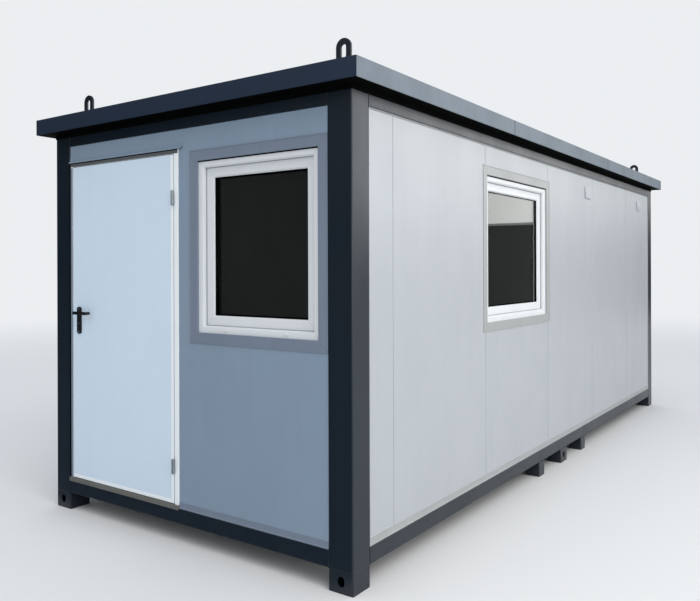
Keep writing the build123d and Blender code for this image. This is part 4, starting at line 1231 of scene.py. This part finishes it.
def add_wall_sheet(bm, place, length, openings, thickness=LINING):
    """A lining sheet over a wall, with rectangular openings; X runs along it, Y up, Z into the room."""
    reached = 0.0
    for start, finish, low, high in openings:
        if start > reached:
            add_block(bm, (reached, 0, 0), (start, ROOM_HEIGHT, thickness), place)
        if low > 0:
            add_block(bm, (start, 0, 0), (finish, low, thickness), place)
        if high < ROOM_HEIGHT:
            add_block(bm, (start, high, 0), (finish, ROOM_HEIGHT, thickness), place)
        reached = finish
    if reached < length:
        add_block(bm, (reached, 0, 0), (length, ROOM_HEIGHT, thickness), place)


def list_inner_walls():
    """Each inner wall: its place, its length, and its openings and lining joints in order along it."""
    side_start, side_length = -POST_INNER_Y, 2 * POST_INNER_Y
    end_start, end_length = -POST_INNER_X, 2 * POST_INNER_X
    side_window = window_opening(WINDOWS["side"], Vector((0, 1, 0)), side_start)
    front_window = window_opening(WINDOWS["front"], Vector((1, 0, 0)), end_start)
    doorway = (JAMBS_LOW.x - end_start, JAMBS_HIGH.x - end_start, 0.0, JAMBS_HIGH.z - FLOOR_TOP)
    side_joints = [seam - side_start for seam in SEAMS]
    end_joints = evenly(0, end_length, 1.07)[1:-1]
    right = Matrix(((0, 0, -1, ROOM_X), (1, 0, 0, side_start), (0, 1, 0, FLOOR_TOP), (0, 0, 0, 1)))
    left = Matrix(((0, 0, 1, -ROOM_X), (1, 0, 0, side_start), (0, 1, 0, FLOOR_TOP), (0, 0, 0, 1)))
    front = Matrix(((1, 0, 0, end_start), (0, 0, 1, ROOM_FRONT), (0, 1, 0, FLOOR_TOP), (0, 0, 0, 1)))
    back = Matrix(((1, 0, 0, end_start), (0, 0, -1, ROOM_BACK), (0, 1, 0, FLOOR_TOP), (0, 0, 0, 1)))
    return (
        (right, side_length, [side_window], side_joints),
        (left, side_length, [], side_joints),
        (front, end_length, [doorway, front_window], end_joints),
        (back, end_length, [], end_joints),
    )


INNER_WALLS = list_inner_walls()


def make_linings():
    """The lining sheets of the walls, the cover strips over their joints, and the casings of the posts."""
    clearance, strip_half, strip_depth = 0.03, 0.014, 0.003
    sheets = bmesh.new()
    strips = bmesh.new()
    for place, length, openings, joints in INNER_WALLS:
        add_wall_sheet(sheets, place, length, openings)
        for joint in joints:
            if any(start - clearance < joint < finish + clearance for start, finish, low, high in openings):
                continue
            high = (joint + strip_half, ROOM_HEIGHT, LINING + strip_depth)
            add_block(strips, (joint - strip_half, 0, LINING), high, place)
    for side, end in SIDES_AND_ENDS:
        x, y = side * POST_INNER_X, end * POST_INNER_Y
        near, far = sorted((x, x - side * POST_CASING))
        low, high = sorted((y - end * POST_CASING, end * (HALF_LENGTH - WALL_DEPTH)))
        add_block(sheets, (near, low, FLOOR_TOP), (far, high, CEILING))
        near, far = sorted((x, side * (HALF_WIDTH - WALL_DEPTH)))
        low, high = sorted((y, y - end * POST_CASING))
        add_block(sheets, (near, low, FLOOR_TOP), (far, high, CEILING))
    add_piece("room_lining", sheets, "white_lining")
    add_piece("lining_joint_strips", strips, "white_pvc", rounding=0.001)


def make_skirting():
    """Skirting along each wall, on the door's wall from the far side of the doorway."""
    profile = [
        (0.0, 0.0),
        (SKIRTING_DEPTH, 0.0),
        (SKIRTING_DEPTH, SKIRTING_HEIGHT - 0.008),
        (0.004, SKIRTING_HEIGHT),
        (0.0, SKIRTING_HEIGHT),
    ]
    run = Matrix(((0, 0, 1, 0), (0, 1, 0, 0), (1, 0, 0, 0), (0, 0, 0, 1)))
    bm = bmesh.new()
    for place, length, openings, joints in INNER_WALLS:
        begin = max((finish for start, finish, low, high in openings if low == 0.0), default=0.0)
        add_prism(bm, place @ Matrix.Translation((begin, 0, LINING)) @ run, profile, length - begin)
    add_piece("skirting", bm, "white_pvc")


def make_vent_grilles():
    """A grille with dark slots on the lining behind each vent."""
    face = ROOM_X - LINING
    slot_face = face - 0.008
    grilles = bmesh.new()
    slots = bmesh.new()
    for low, high in solids_of("vent_covers"):
        middle = (low + high) / 2
        y, z = middle.y, middle.z
        add_block(grilles, (slot_face, y - 0.09, z - 0.06), (face, y + 0.09, z + 0.06))
        for k in range(7):
            level = z - 0.045 + k * 0.014
            low_corner = (slot_face - 0.0005, y - 0.075, level)
            add_block(slots, low_corner, (slot_face + 0.0005, y + 0.075, level + 0.006))
    add_piece("room_vent_grilles", grilles, "white_pvc", rounding=0.002)
    add_piece("room_vent_slots", slots, "black_rubber")


def make_ceiling_lights():
    """Two long lights under the ceiling, with bowed covers."""
    half_width, half_length, depth = 0.055, 0.62, 0.018
    cover_half, cover_drop, cover_length = 0.045, 0.030, 1.20
    angles = [math.pi * k / 10 for k in range(11)]
    cover = [(cover_half * math.cos(angle), -cover_drop * math.sin(angle)) for angle in angles]
    foot = CEILING - depth
    bodies = bmesh.new()
    covers = bmesh.new()
    for y in (-1.45, 1.45):
        add_block(bodies, (-half_width, y - half_length, foot), (half_width, y + half_length, CEILING))
        run = Matrix(((1, 0, 0, 0), (0, 0, 1, y - cover_length / 2), (0, 1, 0, foot), (0, 0, 0, 1)))
        add_prism(covers, run, cover, cover_length)
    add_piece("ceiling_light_bodies", bodies, "white_pvc", rounding=0.003)
    add_piece("ceiling_light_covers", covers, "white_lining")


SOCKET_RING_PROFILE = [(0.018, 0.0), (0.024, 0.0), (0.024, 0.002), (0.018, 0.002)]


def make_switch_and_sockets():
    """A switch beside the door and two sockets on the left wall."""
    plate, depth, margin, rocker_height = 0.08, 0.010, 0.013, 0.004
    x, z = JAMBS_HIGH.x + 0.05, 1.25
    wall = ROOM_FRONT + LINING
    bm = bmesh.new()
    add_block(bm, (x, wall, z), (x + plate, wall + depth, z + plate))
    low = (x + margin, wall + depth, z + margin)
    add_block(bm, low, (x + plate - margin, wall + depth + rocker_height, z + plate - margin))
    wall = -ROOM_X + LINING
    z = 0.50
    for y in (-1.2, 1.6):
        add_block(bm, (wall, y, z), (wall + depth, y + plate, z + plate))
        middle = (wall + depth, y + plate / 2, z + plate / 2)
        add_turned_ring(bm, stand(middle, (0, 1, 0), (1, 0, 0)), SOCKET_RING_PROFILE)
    add_piece("switch_and_sockets", bm, "white_pvc", rounding=0.0015)


def make_vent_details():
    """Dark mesh bars across the foot of each vent hood, and its fixing screws."""
    pitch, half_bar, inset = 0.005, 0.001, 0.003
    bars = bmesh.new()
    screws = bmesh.new()
    for low, high in solids_of("vent_covers"):
        for x in evenly(low.x + pitch, high.x - pitch, pitch):
            near = (x - half_bar, low.y + inset, low.z + 0.002)
            add_block(bars, near, (x + half_bar, high.y - inset, low.z + 0.005))
        for y in (low.y + 0.025, high.y - 0.025):
            add_screws(screws, [stand((high.x, y, low.z + 0.030), (0, 1, 0), (1, 0, 0))])
    add_piece("vent_mesh", bars, "black_rubber")
    add_piece("vent_screws", screws, "silver_paint", smooth=True)


for step in (
    make_linings,
    make_skirting,
    make_vent_grilles,
    make_ceiling_lights,
    make_switch_and_sockets,
    make_vent_details,
):
    step()

# Camera
camera_data = bpy.data.cameras.new("camera")
camera_data.sensor_width = SENSOR_WIDTH
camera_data.lens = FOCAL_PIXELS / PHOTO_WIDTH * SENSOR_WIDTH
camera_data.shift_y = -HORIZON_ABOVE_MIDDLE / PHOTO_WIDTH
camera = bpy.data.objects.new("camera", camera_data)
camera.location = CAMERA_PLACE
level = Matrix.Rotation(CAMERA_TURN, 4, "Z") @ Matrix.Rotation(math.pi / 2, 4, "X")
camera.rotation_euler = (level @ Matrix.Rotation(CAMERA_ROLL, 4, "Z")).to_euler()
scene.collection.objects.link(camera)
scene.camera = camera


def backdrop_share(tree):
    """1 for the camera, reflections and glass, which see the backdrop, and 0 for light on the object."""
    path = tree.nodes.new("ShaderNodeLightPath")
    seen = math_node(tree, "MAXIMUM", path.outputs["Is Camera Ray"], path.outputs["Is Glossy Ray"])
    return math_node(tree, "MAXIMUM", seen, path.outputs["Is Transmission Ray"])


def mix_shaders(tree, share, first, second, output):
    """Mixes two shaders by a share and feeds the surface of the output node."""
    mix = tree.nodes.new("ShaderNodeMixShader")
    tree.links.new(share, mix.inputs[0])
    tree.links.new(first.outputs[0], mix.inputs[1])
    tree.links.new(second.outputs[0], mix.inputs[2])
    tree.links.new(mix.outputs[0], tree.nodes[output].inputs["Surface"])


def make_floor():
    """A plain pale floor that fades into the backdrop far from the cabin."""
    bm = bmesh.new()
    bmesh.ops.create_circle(bm, cap_ends=True, radius=FLOOR_SIZE, segments=96)
    floor = new_object("floor", bm)
    floor.location.z = -0.0005
    material = bpy.data.materials.new("floor")
    material.use_nodes = True
    tree = material.node_tree
    shader = tree.nodes["Principled BSDF"]
    shader.inputs["Base Color"].default_value = (*FLOOR_COLOUR, 1.0)
    shader.inputs["Roughness"].default_value = 0.9
    shader.inputs["IOR"].default_value = 1.2
    far = tree.nodes.new("ShaderNodeEmission")
    far.inputs["Color"].default_value = (*BACKDROP, 1.0)
    place = tree.nodes.new("ShaderNodeTexCoord")
    distance = tree.nodes.new("ShaderNodeVectorMath")
    distance.operation = "LENGTH"
    tree.links.new(place.outputs["Object"], distance.inputs[0])
    fade = map_range(tree, distance.outputs["Value"], FLOOR_FADE_START, FLOOR_FADE_END)
    share = math_node(tree, "MULTIPLY", fade, backdrop_share(tree))
    mix_shaders(tree, share, shader, far, "Material Output")
    floor.data.materials.append(material)


def make_world():
    """Even studio light, with the pale backdrop for the camera, reflections and glass."""
    world = bpy.data.worlds.new("studio")
    scene.world = world
    world.use_nodes = True
    tree = world.node_tree
    light = tree.nodes["Background"]
    place = tree.nodes.new("ShaderNodeTexCoord")
    split = tree.nodes.new("ShaderNodeSeparateXYZ")
    tree.links.new(place.outputs["Generated"], split.inputs[0])
    height = map_range(tree, split.outputs["Z"], 0.0, 0.9)
    tree.links.new(tint(tree, LOW_LIGHT, height, 1.0, SKY_LIGHT), light.inputs["Color"])
    backdrop = tree.nodes.new("ShaderNodeBackground")
    backdrop.inputs["Color"].default_value = (*BACKDROP, 1.0)
    mix_shaders(tree, backdrop_share(tree), light, backdrop, "World Output")


def add_softbox(name, place, target, width, height, power, colour, diffuse=True, spread=180.0):
    """A large soft lamp that faces a point."""
    data = bpy.data.lights.new(name, "AREA")
    data.shape = "RECTANGLE"
    data.size = width
    data.size_y = height
    data.energy = power
    data.color = colour
    data.spread = math.radians(spread)
    lamp = bpy.data.objects.new(name, data)
    lamp.location = place
    lamp.rotation_euler = (Vector(target) - Vector(place)).to_track_quat("-Z", "Y").to_euler()
    lamp.visible_camera = False
    lamp.visible_diffuse = diffuse
    scene.collection.objects.link(lamp)


def add_dark_card(name, middle, facing, width, height, colour=(0.01, 0.01, 0.01)):
    """A dark card out of sight that only reflections show."""
    bm = bmesh.new()
    add_block(bm, (-width / 2, -height / 2, -0.01), (width / 2, height / 2, 0.0))
    card = new_object(name, bm)
    card.location = middle
    card.rotation_euler = Vector(facing).to_track_quat("Z", "Y").to_euler()
    material = bpy.data.materials.new(name)
    material.use_nodes = True
    shader = material.node_tree.nodes["Principled BSDF"]
    shader.inputs["Base Color"].default_value = (*colour, 1.0)
    shader.inputs["Roughness"].default_value = 0.9
    card.data.materials.append(material)
    card.visible_camera = False
    card.visible_diffuse = False
    card.visible_transmission = False
    card.visible_shadow = False


make_floor()
make_world()
add_softbox(
    "key_softbox", place=(8.0, -5.2, 8.0), target=(0.8, -0.8, 1.2), width=7.0, height=6.0,
    power=440.0, colour=(1.0, 0.97, 0.92),
)
add_softbox(
    "side_softbox", place=(10.5, -2.2, 2.4), target=(1.2, -2.2, 0.8), width=7.5, height=2.4,
    power=82.0, colour=(1.0, 0.98, 0.94), spread=100.0,
)
add_softbox(
    "high_reflector", place=(13.8, 10.2, 6.6), target=(13.8, 0.0, 4.6), width=18.0, height=8.0,
    power=1050.0, colour=(1.0, 1.0, 0.97), diffuse=False,
)
add_dark_card(
    "side_dark_card", middle=(8.0, 10.0, 1.59), facing=(0.0, -1.0, 0.0), width=14.0, height=1.94,
)
add_dark_card(
    "front_dark_card", middle=(-10.0, -10.5, 4.0), facing=(0.7, 0.7, 0.0), width=18.0, height=8.0,
)
add_dark_card(
    "front_floor_card", middle=(-6.4, -9.0, 0.012), facing=(0.0, 0.0, 1.0), width=15.0, height=11.8,
    colour=(0.07, 0.10, 0.14),
)
scene.view_settings.view_transform = "Standard"
